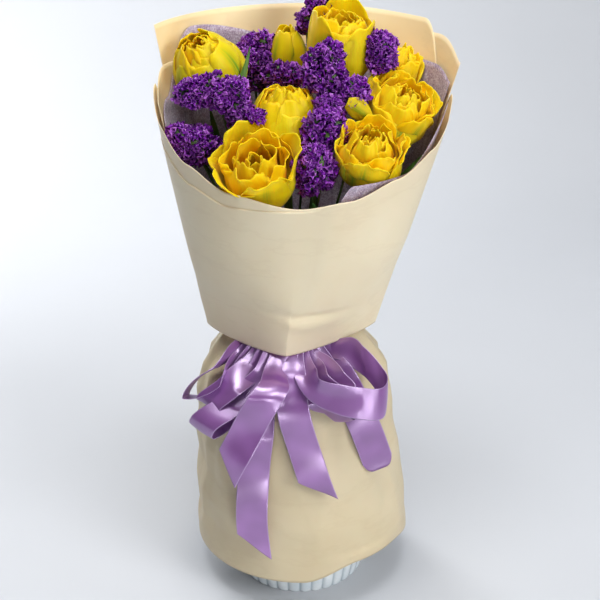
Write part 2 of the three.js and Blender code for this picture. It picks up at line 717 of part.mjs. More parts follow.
// Leaves: each clasps a stem at a height and runs past a middle point to its tip.
const LEAVES = [
  { stem: 0, height: 306, middle: [-38, 6, 385], tip: [-37, 12, 450], width: 9, wide: [0.95, 0.2, 0.2] },
  { stem: 0, height: 266, middle: [-57, 8, 362], tip: [-67, 8, 408], width: 12, wide: [0.9, 0.3, 0.2] },
  { stem: 6, height: 286, middle: [-50, -33, 336], tip: [-74, -39, 372], width: 18, wide: [0.7, -0.3, 0.6] },
  { stem: 7, height: 286, middle: [14, -46, 330], tip: [9, -68, 362], width: 18, wide: [0.95, 0, 0.2] },
  { stem: 3, height: 286, middle: [56, -22, 340], tip: [89, -20, 380], width: 16, wide: [0.5, -0.7, -0.4] },
];
const LEAF = { thickness: 0.8, sheathWidth: 4.5, tipWidth: 1.5, fold: 0.18, parting: 4.4, rows: 16 };

// A blade's width turns from the way it clasps its stem to the way it lies further on.
function bladeGeometry(route, clasp, wide, widthAt) {
  const path = new THREE.CatmullRomCurve3(route, false, "centripetal");
  const place = (u, v) => {
    const run = path.getTangent(v);
    const side = clasp.clone().lerp(wide, ease(v * 2)).normalize();
    const raised = run.clone().cross(side).normalize();
    const across = (u - 0.5) * widthAt(v);
    const spine = path.getPoint(v).addScaledVector(raised, Math.abs(across) * LEAF.fold);
    return spine.addScaledVector(side, across);
  };
  return bentSheet(place, LEAF.thickness, 2, LEAF.rows);
}

LEAVES.forEach(({ stem, height, middle, tip, width, wide }, i) => {
  const { points, radius } = tulipStems[stem];
  const first = points.findIndex((p) => p.z > height - LEVEL / 2);
  const beside = points.find((p) => p.z > middle[2] - LEVEL / 2);
  const away = vec(middle).sub(beside).setZ(0).normalize();
  const clear = radius + 2 * GAP + LEAF.thickness / 2;
  const root = points[first].clone().addScaledVector(away, clear);
  const next = points[first + 1].clone().addScaledVector(away, clear + LEAF.parting);
  const clasp = new THREE.Vector3(-away.y, away.x, 0);
  if (clasp.dot(vec(wide)) < 0) clasp.negate();
  const widthAt = (v) => {
    const grown = mix(LEAF.sheathWidth, width, ease(v * 2.5));
    return mix(grown, LEAF.tipWidth, clamp01((v - 0.5) * 2) ** 1.6);
  };
  const route = [root, next, vec(middle), vec(tip)];
  add(`tulip_leaf_${i + 1}`, bladeGeometry(route, clasp, vec(wide).normalize(), widthAt), "leaf");
});

function loosePetalGeometry({ route, width, narrow, wide }) {
  const side = vec(wide).normalize();
  const widthAt = (v) => mix(narrow, width, Math.sin(Math.PI * (0.1 + 0.8 * v)));
  return bladeGeometry(route.map(vec), side, side, widthAt);
}
add("tulip_4_loose_petal", loosePetalGeometry(LOOSE_PETAL), "petal");

// ---------------------------------------------------------------- statice

function cluster([middle, halfSizes]) {
  return new THREE.IcosahedronGeometry(1, 1).scale(...halfSizes).translate(...middle);
}

STATICE.forEach(({ clusters }, i) => {
  const stem = staticeStems[i];
  const fork = stem.points[stem.points.length - 3];
  const branches = clusters.slice(1).map(([middle]) => {
    const bend = fork.clone().lerp(vec(middle), 0.5).add(new THREE.Vector3(0, 0, -4));
    return tube([fork, bend, vec(middle)], STATICE_STEM * 0.8, 4, 3);
  });
  add(`statice_${i + 1}`, joined([stemTube(stem, 4), ...branches, ...clusters.map(cluster)]), "statice");
});

// ---------------------------------------------------------------- the whole

add("vase", vaseGeometry(), "glaze");
add("front_collar", bentSheet(collarPoint, PAPER, 24, 6), "paper");
for (const [name, sheet] of Object.entries(SHEETS))
  add(name, wrapSheet(sheet), name === "lining" ? "lining" : "paper");
add("skirt", skirtGeometry(), "paper");
add("stem_tie", ring(TIE.innerRadius, TIE.outerRadius, WAIST.z, TIE.halfHeight), "twine");
add("waist_ribbon", ring(BAND.radius, BAND.radius + RIBBON, BAND.z, BAND.halfHeight), "satin");
add("bow_knot", knotGeometry(), "satin");
for (const [name, stations] of Object.entries(BOW))
  add(name, ribbonGeometry(stations, TAIL_LEANS[name]), "satin");

export default bouquet;
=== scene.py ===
"""The looks of a wrapped bunch of double yellow tulips and purple statice in a fluted vase.

Lengths are millimetres until a mesh is made. +Z is up, and the front with the bow faces -Y.
A bearing is an angle in degrees seen from above, 0 at the front and +90 at the viewer's right.
"""

import math
from collections import namedtuple

import bpy
import numpy as np
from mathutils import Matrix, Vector


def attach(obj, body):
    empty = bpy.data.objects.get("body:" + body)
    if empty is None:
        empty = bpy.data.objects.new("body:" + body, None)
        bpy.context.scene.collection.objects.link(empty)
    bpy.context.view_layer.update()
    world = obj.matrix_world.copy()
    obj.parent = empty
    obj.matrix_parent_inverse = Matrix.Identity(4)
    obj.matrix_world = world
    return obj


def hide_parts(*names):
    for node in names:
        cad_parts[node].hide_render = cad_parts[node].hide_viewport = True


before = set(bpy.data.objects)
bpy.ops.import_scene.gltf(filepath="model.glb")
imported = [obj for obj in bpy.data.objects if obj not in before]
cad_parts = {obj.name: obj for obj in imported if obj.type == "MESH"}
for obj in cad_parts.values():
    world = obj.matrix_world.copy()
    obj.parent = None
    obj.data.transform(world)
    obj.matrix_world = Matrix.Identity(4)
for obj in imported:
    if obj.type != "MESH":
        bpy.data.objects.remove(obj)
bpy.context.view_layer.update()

MM = 0.001

# ------------------------------------------------------------------ dimensions shared with the frame

WAIST_X = -5
WAIST_Z = 240
WAIST_HALF = 9
LAYER = 1.15  # from one gathered sheet to the next at the waist
LINING_NECK = 17.75
SKIRT_NECK = LINING_NECK + 4 * LAYER
BAND_RADIUS = SKIRT_NECK + 0.75
KNOT = np.array([-8, -BAND_RADIUS - 8, 242.0])
KNOT_SIZE = np.array([9, 7, 7.0])
FLOOR_Z = 6.4  # where the stems stand in the vase
LEVEL = 20  # spacing of the stems' levels
NECK = 16  # straight run of a stem under its bloom or cluster
NECK_GAP = 6  # least room between a stem's last level and its neck
RIBBON_WIDTH = 25

# thicknesses
PAPER = 0.35
SATIN = 0.3
BAND = 0.2
TISSUE_CLOTH = 0.3
PETAL = 0.45
BLADE = 0.5  # a leaf, and the petal that has come loose

# The funnel of paper: half width, middle and depth ratios at the collar's hem and at the top.
HEM_Z = 231
FUNNEL_RISE = 224
FUNNEL = {"half": (67, 118), "x": (-7, 5), "front": (0.82, 0.88), "back": (0.78, 0.78)}
GATHER_Z = WAIST_Z + WAIST_HALF + 3
FULL_Z = WAIST_Z + 84

# ------------------------------------------------------------------ small maths


def mix(a, b, t):
    return a + (b - a) * t


def ease(t):
    t = np.clip(t, 0, 1)
    return t * t * (3 - 2 * t)


def window(at, low, rise, high, fall):
    """Easing up from 0 at low over rise, and back down to 0 at high over fall."""
    return ease((at - low) / rise) * ease((high - at) / fall)


def along(pairs, at):
    """A value eased between a short list of [position, value] pairs."""
    xs, ys = np.array(pairs, float).T
    i = np.clip(np.searchsorted(xs, at, side="right") - 1, 0, len(xs) - 2)
    return mix(ys[i], ys[i + 1], ease((at - xs[i]) / (xs[i + 1] - xs[i])))


def curve(values, t):
    """A smooth curve through equally spaced values (numbers or points), read at t from 0 to 1."""
    values = np.array(values, float)
    last = len(values) - 1
    at = np.clip(np.asarray(t, float), 0, 1) * last
    i = np.clip(at.astype(int), 0, last - 1)
    k = at - i
    if values.ndim == 2:
        k = k[..., None]
    a, b = values[np.maximum(i - 1, 0)], values[i]
    c, d = values[i + 1], values[np.minimum(i + 2, last)]
    return b + 0.5 * k * (c - a + k * (2 * a - 5 * b + 4 * c - d + k * (3 * (b - c) + d - a)))


def bell(t, width):
    """A smooth bump of height 1 round t = 0."""
    return np.exp(-((t / width) ** 2))


def unit(v):
    v = np.asarray(v, float)
    return v / np.linalg.norm(v, axis=-1, keepdims=True)


def xyz(x, y, z):
    return np.stack(np.broadcast_arrays(x, y, z), axis=-1)


def read_line(at, stations, values):
    """Each column of values, which belong to rising stations, read at the given places."""
    return np.stack([np.interp(at, stations, column) for column in values.T], axis=-1)


def turned_to(axis):
    """The rotation that takes +Z to an axis, as a matrix for column vectors."""
    turn = Vector((0, 0, 1)).rotation_difference(Vector(unit(axis)))
    return np.array(turn.to_matrix())


# ------------------------------------------------------------------ meshes


class Shape:
    """Points, faces and per-point fields that are gathered before they become one mesh."""

    def __init__(self):
        self.points, self.faces, self.slots, self.fields, self.count = [], [], [], {}, 0

    def add(self, points, faces, slot=0, **fields):
        self.points.append(points)
        self.faces.extend([[i + self.count for i in face] for face in faces])
        self.slots.extend([slot] * len(faces))
        for key, values in fields.items():
            values = np.broadcast_to(np.asarray(values, float), (len(points),))
            self.fields.setdefault(key, []).append(values)
        self.count += len(points)


def grid_faces(across, up, wrap=False):
    """Quads of a grid of (across + 1) by (up + 1) points, or of a ring of across points."""
    row = across if wrap else across + 1
    return [
        [j * row + i, j * row + (i + 1) % row, (j + 1) * row + (i + 1) % row, (j + 1) * row + i]
        for j in range(up)
        for i in range(across)
    ]


def tube_faces(around, up):
    """Quads of a tube of up + 1 rings, and the two faces that close its ends."""
    last = up * around
    ends = [list(range(around))[::-1], list(range(last, last + around))]
    return grid_faces(around, up, wrap=True) + ends


def level_ring(radius, angles, z):
    return xyz(radius * np.cos(angles), radius * np.sin(angles), z)


def grid_uv(across, up):
    """The shares across and up a grid of each of its points."""
    v, u = np.meshgrid(np.linspace(0, 1, up + 1), np.linspace(0, 1, across + 1), indexing="ij")
    return u.ravel(), v.ravel()


def ring_uv(around, up):
    """The same for a grid that closes on itself, without the column that would fall on the first."""
    u, v = grid_uv(around, up)
    keep = u < 1
    return u[keep], v[keep]


def placed(name, data):
    """A new object in the scene."""
    obj = bpy.data.objects.new(name, data)
    bpy.context.scene.collection.objects.link(obj)
    return obj


def piece(name, shape, materials, nodes, thickness=0, lined=0):
    """One visible piece that rides on the bunch and stands for CAD nodes.

    A lined sheet's inner face takes the material that follows its outer face's.
    """
    mesh = bpy.data.meshes.new(name)
    mesh.from_pydata((np.concatenate(shape.points) * MM).tolist(), [], shape.faces)
    for key, values in shape.fields.items():
        mesh.attributes.new(key, "FLOAT", "POINT").data.foreach_set("value", np.concatenate(values))
    mesh.polygons.foreach_set("use_smooth", [True] * len(mesh.polygons))
    for each in materials:
        mesh.materials.append(each)
    mesh.polygons.foreach_set("material_index", shape.slots)
    obj = placed(name, mesh)
    if thickness:
        solid = obj.modifiers.new("thickness", "SOLIDIFY")
        solid.thickness = thickness * MM
        solid.offset = 0
        solid.use_even_offset = False
        solid.material_offset = lined
    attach(obj, "root")
    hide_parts(*nodes)
    return obj


# ------------------------------------------------------------------ materials


def rgb(red, green, blue):
    """A colour given in 0-255 screen values, as the shader wants it."""
    channels = [c / 255 for c in (red, green, blue)]
    linear = [c / 12.92 if c <= 0.04045 else ((c + 0.055) / 1.055) ** 2.4 for c in channels]
    return (*linear, 1)


class Surface:
    """A node material built step by step."""

    def __init__(self, name):
        self.material = bpy.data.materials.new(name)
        self.material.use_nodes = True
        self.tree = self.material.node_tree
        self.tree.nodes.clear()
        self.place = self.node("TexCoord").outputs["Object"]

    def node(self, kind, inputs=None, **settings):
        made = self.tree.nodes.new("ShaderNode" + kind)
        for key, value in settings.items():
            setattr(made, key, value)
        for key, value in (inputs or {}).items():
            self.feed(made.inputs[key], value)
        return made

    def feed(self, socket, value):
        """Links another node's output to a socket, or sets a plain value on it."""
        if isinstance(value, bpy.types.NodeSocket):
            self.tree.links.new(value, socket)
        else:
            socket.default_value = value

    def field(self, name):
        return self.node("Attribute", attribute_name=name).outputs["Fac"]

    def maths(self, operation, a, b=0.0):
        return self.node("Math", {0: a, 1: b}, operation=operation).outputs[0]

    def times(self, a, b):
        return self.maths("MULTIPLY", a, b)

    def plus(self, a, b):
        return self.maths("ADD", a, b)

    def vector(self, x=0.0, y=0.0, z=0.0):
        return self.node("CombineXYZ", {0: x, 1: y, 2: z}).outputs[0]

    def stretched(self, rotation, scale):
        """The place on the object, scaled by its own amount each way and then turned."""
        inputs = {"Vector": self.place, "Rotation": rotation, "Scale": scale}
        return self.node("Mapping", inputs).outputs[0]

    def noise(self, scale, detail=2.0, vector=None, roughness=0.5):
        inputs = {"Vector": vector or self.place, "Scale": scale, "Detail": detail, "Roughness": roughness}
        return self.node("TexNoise", inputs).outputs["Fac"]

    def ramp(self, factor, stops):
        made = self.node("ValToRGB", {0: factor})
        elements = made.color_ramp.elements
        while len(elements) < len(stops):
            elements.new(0.5)
        for element, (position, colour) in zip(elements, stops):
            element.position = position
            element.color = colour if hasattr(colour, "__len__") else (colour, colour, colour, 1)
        return made.outputs[0]

    def rise(self, factor, low, high, top=1.0):
        """0 up to low, and top from high on."""
        return self.ramp(factor, [(low, 0.0), (high, top)])

    def blend(self, factor, a, b):
        return self.node("Mix", {0: factor, 6: a, 7: b}, data_type="RGBA").outputs[2]

    def bump(self, height, strength, distance):
        inputs = {"Height": height, "Strength": strength, "Distance": distance * MM}
        return self.node("Bump", inputs).outputs[0]

    def finish(self, **sockets):
        shader = self.node("BsdfPrincipled")
        for key, value in sockets.items():
            self.feed(shader.inputs[key.replace("_", " ")], value)
        output = self.node("OutputMaterial")
        self.tree.links.new(shader.outputs[0], output.inputs[0])
        return self.material


def petal_material(name, light, deep, green):
    """Yellow petals: painted shade, deeper orange towards the heart and paler at the rims, fine veins along
    them, and green where marked.
    """
    s = Surface(name)
    across, length, depth, tint = (s.field(key) for key in ("across", "length", "depth", "tint"))
    veins = s.noise(1.0, 3.0, s.vector(s.times(across, 34.0), s.times(length, 2.2), tint))
    blotches = s.noise(160.0, 3.0)
    # painted shade: the depth field, broken up by random blotches
    shade = s.plus(depth, s.times(s.maths("SUBTRACT", blotches, 0.5), 0.5))
    colour = s.blend(s.rise(shade, 0.15, 0.95), light, deep)
    pale = s.blend(0.55, light, rgb(255, 226, 30))
    paleness = s.plus(tint, s.times(veins, 0.5))
    colour = s.blend(s.rise(paleness, 0.45, 1.0, 0.8), colour, pale)
    colour = s.blend(s.ramp(veins, [(0.3, 0.2), (0.62, 0.0)]), colour, deep)
    marks = s.times(s.field("green"), s.ramp(veins, [(0.25, 0.45), (0.6, 1.0)]))
    return s.finish(
        Base_Color=s.blend(marks, colour, green),
        Roughness=0.48,
        Normal=s.bump(veins, 0.25, 0.4),
        Subsurface_Weight=0.45,
        Subsurface_Radius=(1.0, 0.6, 0.05),
        Subsurface_Scale=0.006,
        Sheen_Weight=0.05,
        Specular_IOR_Level=0.22,
    )


def floret_material():
    """Violet florets: painted shade in the throat and under them, lighter at the crinkled rim, and painted
    glints there.
    """
    s = Surface("statice_floret")
    tip, tint = s.field("tip"), s.field("tint")
    crinkles = s.noise(900.0, 2.0)
    deep = s.blend(tint, rgb(56, 2, 88), rgb(92, 8, 124))
    bright = s.blend(tint, rgb(136, 18, 180), rgb(212, 124, 238))
    # painted shade: dark in the throat, at the neck and under the rim, lighter at the rim; the colours also
    # vary at random from floret to floret
    colour = s.blend(s.rise(tip, 0.2, 1.0), deep, bright)
    # painted glints on the crinkles near the rim
    painted_glints = s.times(s.rise(crinkles, 0.56, 0.68), s.rise(tip, 0.6, 1.0, 0.9))
    return s.finish(
        Base_Color=s.blend(painted_glints, colour, rgb(232, 200, 246)),
        Roughness=0.6,
        Normal=s.bump(crinkles, 0.5, 0.4),
        Specular_IOR_Level=0.2,
    )


def green_material(name, dark, light, streak):
    """Leaves and stems: streaks up and down, and yellower patches."""
    s = Surface(name)
    x, y, z = s.node("SeparateXYZ", {0: s.place}).outputs
    lines = s.noise(1.0, 4.0, s.vector(s.times(x, streak), s.times(y, streak), s.times(z, 30.0)))
    patches = s.noise(45.0, 3.0)
    colour = s.blend(s.rise(lines, 0.3, 0.7), dark, light)
    yellowed = s.blend(0.5, light, rgb(150, 170, 60))
    return s.finish(
        Base_Color=s.blend(s.rise(patches, 0.45, 0.75, 0.5), colour, yellowed),
        Roughness=0.5,
        Normal=s.bump(lines, 0.35, 0.3),
        Subsurface_Weight=0.05,
        Subsurface_Scale=0.002,
    )


def paper_material(name, light, dark):
    """Matte cream film: a fine tooth, faint clouding, and soft handling creases with painted shade along
    them.
    """
    s = Surface(name)
    tooth = s.noise(2600.0, 2.0)
    clouds = s.noise(14.0, 4.0)
    creases = s.noise(1.0, 6.0, s.stretched((0.3, 0.7, 0.4), (9, 9, 26)), 0.62)
    colour = s.blend(s.rise(clouds, 0.3, 0.7), light, dark)
    # painted shade along the creases
    fold = s.ramp(creases, [(0.47, 0.0), (0.5, 1.0), (0.53, 0.0)])
    height = s.plus(s.times(tooth, 0.12), s.times(creases, 0.9))
    return s.finish(
        Base_Color=s.blend(s.times(fold, 0.06), colour, rgb(170, 140, 95)),
        Roughness=s.ramp(clouds, [(0.3, 0.46), (0.7, 0.56)]),
        Normal=s.bump(height, 0.22, 0.5),
        Specular_IOR_Level=0.45,
        Subsurface_Weight=0.06,
        Subsurface_Scale=0.002,
    )


def tissue_material():
    """Non-woven lining: fibres pressed at random, in lilac grey."""
    s = Surface("lining_tissue")
    one_way = s.noise(1.0, 3.0, s.stretched((0.5, 0.2, 0.9), (1500, 420, 900)))
    other_way = s.noise(1.0, 3.0, s.stretched((0.1, 0.9, -0.6), (420, 1500, 700)))
    fibres = s.times(s.plus(one_way, other_way), 0.5)
    mixed = s.plus(s.times(fibres, 0.75), s.times(s.noise(220.0, 3.0), 0.25))
    shades = [(0.36, rgb(118, 100, 124)), (0.5, rgb(172, 155, 174)), (0.64, rgb(216, 208, 222))]
    return s.finish(
        Base_Color=s.ramp(mixed, shades),
        Roughness=0.8,
        Normal=s.bump(fibres, 0.5, 0.3),
        Sheen_Weight=0.3,
        Subsurface_Weight=0.08,
        Subsurface_Scale=0.002,
    )


def satin_material():
    """Lilac satin: fine threads, a sheen that spreads across them, painted sheen that comes and goes along
    the ribbon, and a stitched edge.
    """
    s = Surface("satin_ribbon")
    across, length = s.field("across"), s.field("length")
    edge = s.rise(s.maths("ABSOLUTE", across), 0.92, 0.945)
    stitches = s.maths("SINE", s.times(length, 4.2))
    stitch_height = s.times(edge, s.plus(s.times(stitches, 0.5), 1.0))
    threads = s.noise(1.0, 2.0, s.vector(s.times(across, 34.0), s.times(length, 2.4)))
    painted_sheen = s.noise(1.0, 1.0, s.vector(s.times(across, 0.5), s.times(length, 0.04)))
    # painted sheen: the lilac turns lighter and darker along the ribbon
    colour = s.blend(s.rise(painted_sheen, 0.35, 0.65), rgb(138, 80, 154), rgb(160, 100, 178))
    colour = s.blend(s.ramp(threads, [(0.3, 0.22), (0.62, 0.0)]), colour, rgb(100, 50, 116))
    height = s.plus(s.times(threads, 0.15), stitch_height)
    return s.finish(
        Base_Color=s.blend(s.times(edge, 0.5), colour, rgb(186, 154, 204)),
        Roughness=s.ramp(threads, [(0.3, 0.29), (0.7, 0.35)]),
        Normal=s.bump(height, 0.25, 0.25),
        Tangent=s.node("Tangent", direction_type="UV_MAP", uv_map="threads").outputs[0],
        Metallic=0.25,
        IOR=2.0,
        Specular_Tint=(0.9, 0.94, 1.0, 1),
        Anisotropic=0.8,
        Sheen_Weight=0.15,
        Sheen_Roughness=0.4,
        Specular_IOR_Level=1.0,
    )


def glaze_material():
    """White glaze: faint clouds and specks, and painted shade, bluish grey, in the grooves between the
    ribs.
    """
    s = Surface("vase_glaze")
    cloud = s.noise(60.0, 3.0)
    specks = s.noise(900.0, 2.0)
    colour = s.blend(s.rise(cloud, 0.35, 0.7), rgb(232, 238, 240), rgb(212, 222, 228))
    colour = s.blend(s.rise(specks, 0.68, 0.8, 0.35), colour, rgb(170, 178, 182))
    return s.finish(
        # painted shade, bluish grey, in the grooves between the ribs
        Base_Color=s.blend(s.times(s.field("groove"), 0.8), colour, rgb(140, 156, 168)),
        Roughness=0.16,
        Normal=s.bump(cloud, 0.15, 0.4),
        Coat_Weight=0.6,
        Coat_Roughness=0.08,
    )


def twine_material():
    s = Surface("tie_twine")
    z = s.node("SeparateXYZ", {0: s.place}).outputs[2]
    turns = s.maths("SINE", s.times(z, 4200.0))
    fibres = s.noise(700.0, 4.0)
    colour = s.blend(s.rise(fibres, 0.3, 0.7), rgb(112, 90, 52), rgb(176, 152, 104))
    height = s.plus(turns, s.times(fibres, 0.6))
    return s.finish(Base_Color=colour, Roughness=0.9, Normal=s.bump(height, 0.8, 0.4))


# the second colour of each is the painted shade's deep orange, which the veins also take
YELLOW = petal_material("petal_outer", rgb(255, 212, 0), rgb(255, 158, 0), rgb(104, 152, 26))
GOLD = petal_material("petal_inner", rgb(255, 208, 0), rgb(255, 152, 0), rgb(120, 160, 30))
VIOLET = floret_material()
CALYX = green_material("statice_green", rgb(30, 58, 26), rgb(92, 128, 60), 420.0)
STEM = green_material("tulip_stem_green", rgb(62, 98, 36), rgb(122, 156, 72), 300.0)
LEAF = green_material("tulip_leaf_green", rgb(24, 66, 24), rgb(74, 132, 48), 500.0)
CREAM = paper_material("wrap_paper", rgb(236, 222, 192), rgb(228, 211, 178))
# the sheets' inside faces: the cream painted warmer and brighter, as a painted glow of light through and
# between the sheets
WARM_PAINTED_GLOW = paper_material("wrap_paper_inside_painted_glow", rgb(248, 228, 184), rgb(244, 216, 164))
# the cream paper painted darker for the skirt, as painted shade
SKIRT_CREAM_PAINTED_SHADE = paper_material("skirt_paper_painted_shade", rgb(216, 201, 169), rgb(206, 189, 154))
TISSUE = tissue_material()
LILAC = satin_material()
GLAZE = glaze_material()
TWINE = twine_material()

# ------------------------------------------------------------------ paper


def funnel_at(z):
    t = (z - HEM_Z) / FUNNEL_RISE
    return [mix(*FUNNEL[key], t) for key in ("half", "x", "front", "back")]


def gathers(bearing, z):
    """Pleats that all the inner sheets share where they open out of the waist."""
    fade = window(z, WAIST_Z, 22, 318, 56)
    waves = np.cos(17 * bearing + 0.8 * np.sin(3 * bearing)) + 0.4 * np.cos(29 * bearing + 1)
    return 1.7 * fade * waves


def funnel_point(bearing, z, inset, neck):
    half, x, front, back = funnel_at(z)
    gathered = ease((z - GATHER_Z) / (FULL_Z - GATHER_Z))
    s, c = np.sin(bearing), np.cos(bearing)
    drawn = gathers(bearing, z)
    a = mix(neck, half - inset, gathered) + drawn
    b = mix(neck, half * np.where(c > 0, front, back) - inset, gathered) + drawn
    return xyz(mix(WAIST_X, x, gathered) + a * s, -b * c, z)


# Inset from the cone at the two edges, place in the layers at the waist, and the rim from edge to edge
# as [bearing, height].
SHEETS = {
    "right_wrap": ((1.6, 1.6), 3, [[96, 440], [120, 452], [180, 430]]),
    "back_wrap": ((3.1, 1.6), 2, [[-252, 420], [-230, 461], [-180, 464], [-108, 463]]),
    "left_wrap": ((3.1, 3.1), 1, [[-156, 428], [-108, 434], [-84, 416]]),
}
LINING_RIM = [
    [-264, 426], [-245, 432], [-190, 432], [-130, 455], [-102, 412], [-60, 378],
    [-20, 352], [12, 352], [22, 378], [50, 378], [84, 416],
]


def up_to_rim(across, up, hem, rim):
    """A sheet's grid, as shares across and up it, and as bearings and heights from its hem to its rim."""
    u, v = grid_uv(across, up)
    degrees = mix(rim[0][0], rim[-1][0], u)
    return u, v, degrees, mix(hem, along(rim, degrees), v)


def wrap_sheet(name, inset, layer, rim, materials, slot, thickness):
    neck = LINING_NECK + layer * LAYER
    across, up = round((rim[-1][0] - rim[0][0]) / 1.2), 56
    u, _, degrees, z = up_to_rim(across, up, WAIST_Z - WAIST_HALF, rim)
    inward = mix(*inset, ease((u - 0.5) * 4))
    shape = Shape()
    shape.add(funnel_point(np.radians(degrees), z, inward, neck), grid_faces(across, up))
    return piece(name + "_sheet", shape, materials, [name], thickness, len(materials) - 1)


COLLAR_RIM = [
    [-108, 340], [-98, 424], [-75, 405], [-52, 386], [-30, 372], [0, 364],
    [20, 368], [42, 379], [64, 392], [82, 404], [96, 417], [108, 340],
]
# The edge of the collar's outer layer, which shows as a line below the rim on the left, and its lift.
COLLAR_EDGE = [[-106, 336], [-97, 396], [-75, 386], [-52, 370], [-30, 361], [0, 362], [14, 365]]
COLLAR_LIFT = 0.75
COLLAR_FOLD = 0.62  # how sharply the collar is bent at its point in front
COLLAR_FOLD_HEIGHT = 90
COLLAR_POINT_X = -6


def collar_point(degrees, z, out):
    half, x, front, back = funnel_at(z)
    fold = COLLAR_FOLD * (1 - ease((z - HEM_Z) / COLLAR_FOLD_HEIGHT))
    s, c = np.sin(np.radians(degrees)), np.cos(np.radians(degrees))
    depth = half * np.where(c > 0, front, back) + out
    bent_s = np.sign(s) * np.abs(s) ** (1 + fold)
    bent_c = np.sign(c) * np.abs(c) ** (1 + fold)
    return xyz(x + (half + out) * bent_s + COLLAR_POINT_X * fold * c, -depth * bent_c, z)


DEGREE = 1.4  # millimetres round the paper
FOLD_Z = 140  # where an upright fold's bearing is given


def crumple(degrees, z, seed, spans, depth):
    """Flat facets between soft creases: a few slanted zigzag waves added together."""
    rng = np.random.default_rng(seed)
    total = 0.0
    for span in spans:
        slant = rng.uniform(0, np.pi)
        run = (DEGREE * degrees * np.cos(slant) + z * np.sin(slant)) / span + rng.uniform(0, 1)
        total = total + np.abs(2 * (run % 1) - 1) - 0.5
    return depth * total


def ridge(degrees, z, bearing, slope, width, height):
    """A sharp upright fold whose bearing drifts with height."""
    return height * np.maximum(0, 1 - np.abs(degrees - bearing - slope * (z - FOLD_Z)) / width)


def hollow(degrees, z, at, size, depth):
    """A soft dent: its middle and size as (bearing, height)."""
    away = ((degrees - at[0]) / size[0]) ** 2 + ((z - at[1]) / size[1]) ** 2
    return -depth * np.exp(-away)


def collar_dents(degrees, z):
    """The creased facet above the hem on the right, and soft facets elsewhere."""
    line = z + 0.12 * degrees
    crease = hollow(degrees, line, (18, 268), (20, 3.0), 3.2)
    crease -= hollow(degrees, line, (20, 259), (20, 5), 1.6)
    return crease + window(z, 236, 20, 350, 40) * crumple(degrees, z, 8, (150, 104, 83), 0.5)


def front_collar():
    shape = Shape()
    for across, up, hem, rim in ((180, 90, HEM_Z, COLLAR_RIM), (100, 50, HEM_Z + 40, COLLAR_EDGE)):
        u, v, degrees, z = up_to_rim(across, up, hem, rim)
        out = collar_dents(degrees, z)
        if rim is COLLAR_EDGE:
            out += COLLAR_LIFT * ease(v * 6) * ease(u * 8) * ease((1 - u) * 5) - 0.1
        shape.add(collar_point(degrees, z, out), grid_faces(across, up))
    piece("collar_sheet", shape, [CREAM, WARM_PAINTED_GLOW], ["front_collar"], PAPER, 1)


SKIRT_HEM_Z = 34
SKIRT_ROWS = np.array([
    [SKIRT_HEM_Z, 90, 83], [62, 89, 82], [100, 86, 78], [140, 81, 72], [178, 77, 65],
    [200, 73, 57], [214, 63, 40], [226, 55, 28],
    [236, SKIRT_NECK, SKIRT_NECK], [WAIST_Z + WAIST_HALF, SKIRT_NECK, SKIRT_NECK],
])  # height, half width, half depth
HEM_LIFT = 13  # of the skirt's hem on the right
SKIRT_PLEATS, SKIRT_PLEAT_DEPTH = 9, 2.2
# Bearing, drift with height, width and height of each upright fold.
SKIRT_FOLDS = [(-63, 0.05, 9, 2.2), (60, -0.06, 10, 1.8), (15, 0.09, 8, 0.8)]
# Middle and size of each dent as (bearing, height), and its depth.
SKIRT_DENTS = [
    ((-8, 128), (5, 13), 1.0), ((12, 152), (4, 9), 0.9),
    ((-52, 150), (7, 60), 1.6), ((38, 90), (14, 30), 0.8),
]


def skirt():
    across, up = 288, 96
    u, v = ring_uv(across, up)
    bearing = u * 2 * np.pi - np.pi
    degrees = np.degrees(bearing)
    z = mix(SKIRT_HEM_Z, WAIST_Z + WAIST_HALF, v)
    _, a, b = read_line(z, SKIRT_ROWS[:, 0], SKIRT_ROWS).T
    pleat = SKIRT_PLEAT_DEPTH * window(z, 60, 120, 232, 20) * np.cos(SKIRT_PLEATS * bearing)
    creases = 0.6 * window(z, 120, 90, 236, 12) * np.cos(23 * bearing + 1.5 * np.sin(2 * bearing))
    # crumpled more on the left, and not at the hem, the waist or the seam at the back
    body = window(z, 36, 30, 222, 30) * ease((180 - np.abs(degrees)) / 30)
    creases += body * crumple(degrees, z, 3, (110, 78, 61, 45), 1.2 + 1.6 * ease((-degrees - 25) / 40))
    for fold in SKIRT_FOLDS:
        creases += body * ridge(degrees, z, *fold)
    out = pleat + creases + sum(hollow(degrees, z, *dent) for dent in SKIRT_DENTS)
    centre = mix(2, WAIST_X, ease((z - SKIRT_HEM_Z) / 150))
    x = centre + (a + out) * np.sin(bearing)
    y = -(b + out) * np.cos(bearing)
    lifted = z + HEM_LIFT * window(degrees, 0, 30, 95, 40) * (1 - ease((z - SKIRT_HEM_Z) / 28))
    shape = Shape()
    shape.add(xyz(x, y, lifted), grid_faces(across, up, wrap=True))
    piece("skirt_sheet", shape, [SKIRT_CREAM_PAINTED_SHADE], ["skirt"], PAPER)


# ------------------------------------------------------------------ vase

# Radius and height up the outside, then down the inside.
VASE_OUTSIDE = [
    [54, 0], [56, 2], [58.6, 15], [61, 30], [62.4, 47], [63, 65], [62.5, 84], [61.3, 103], [60, 118],
]
VASE_INSIDE = [[57.5, 120], [55, 118], [54.8, 90], [53.6, 50], [52, 22], [48.5, 12], [43, 6], [0.5, 6]]
FLUTES = 36
FLUTE_DEPTH = 1.5


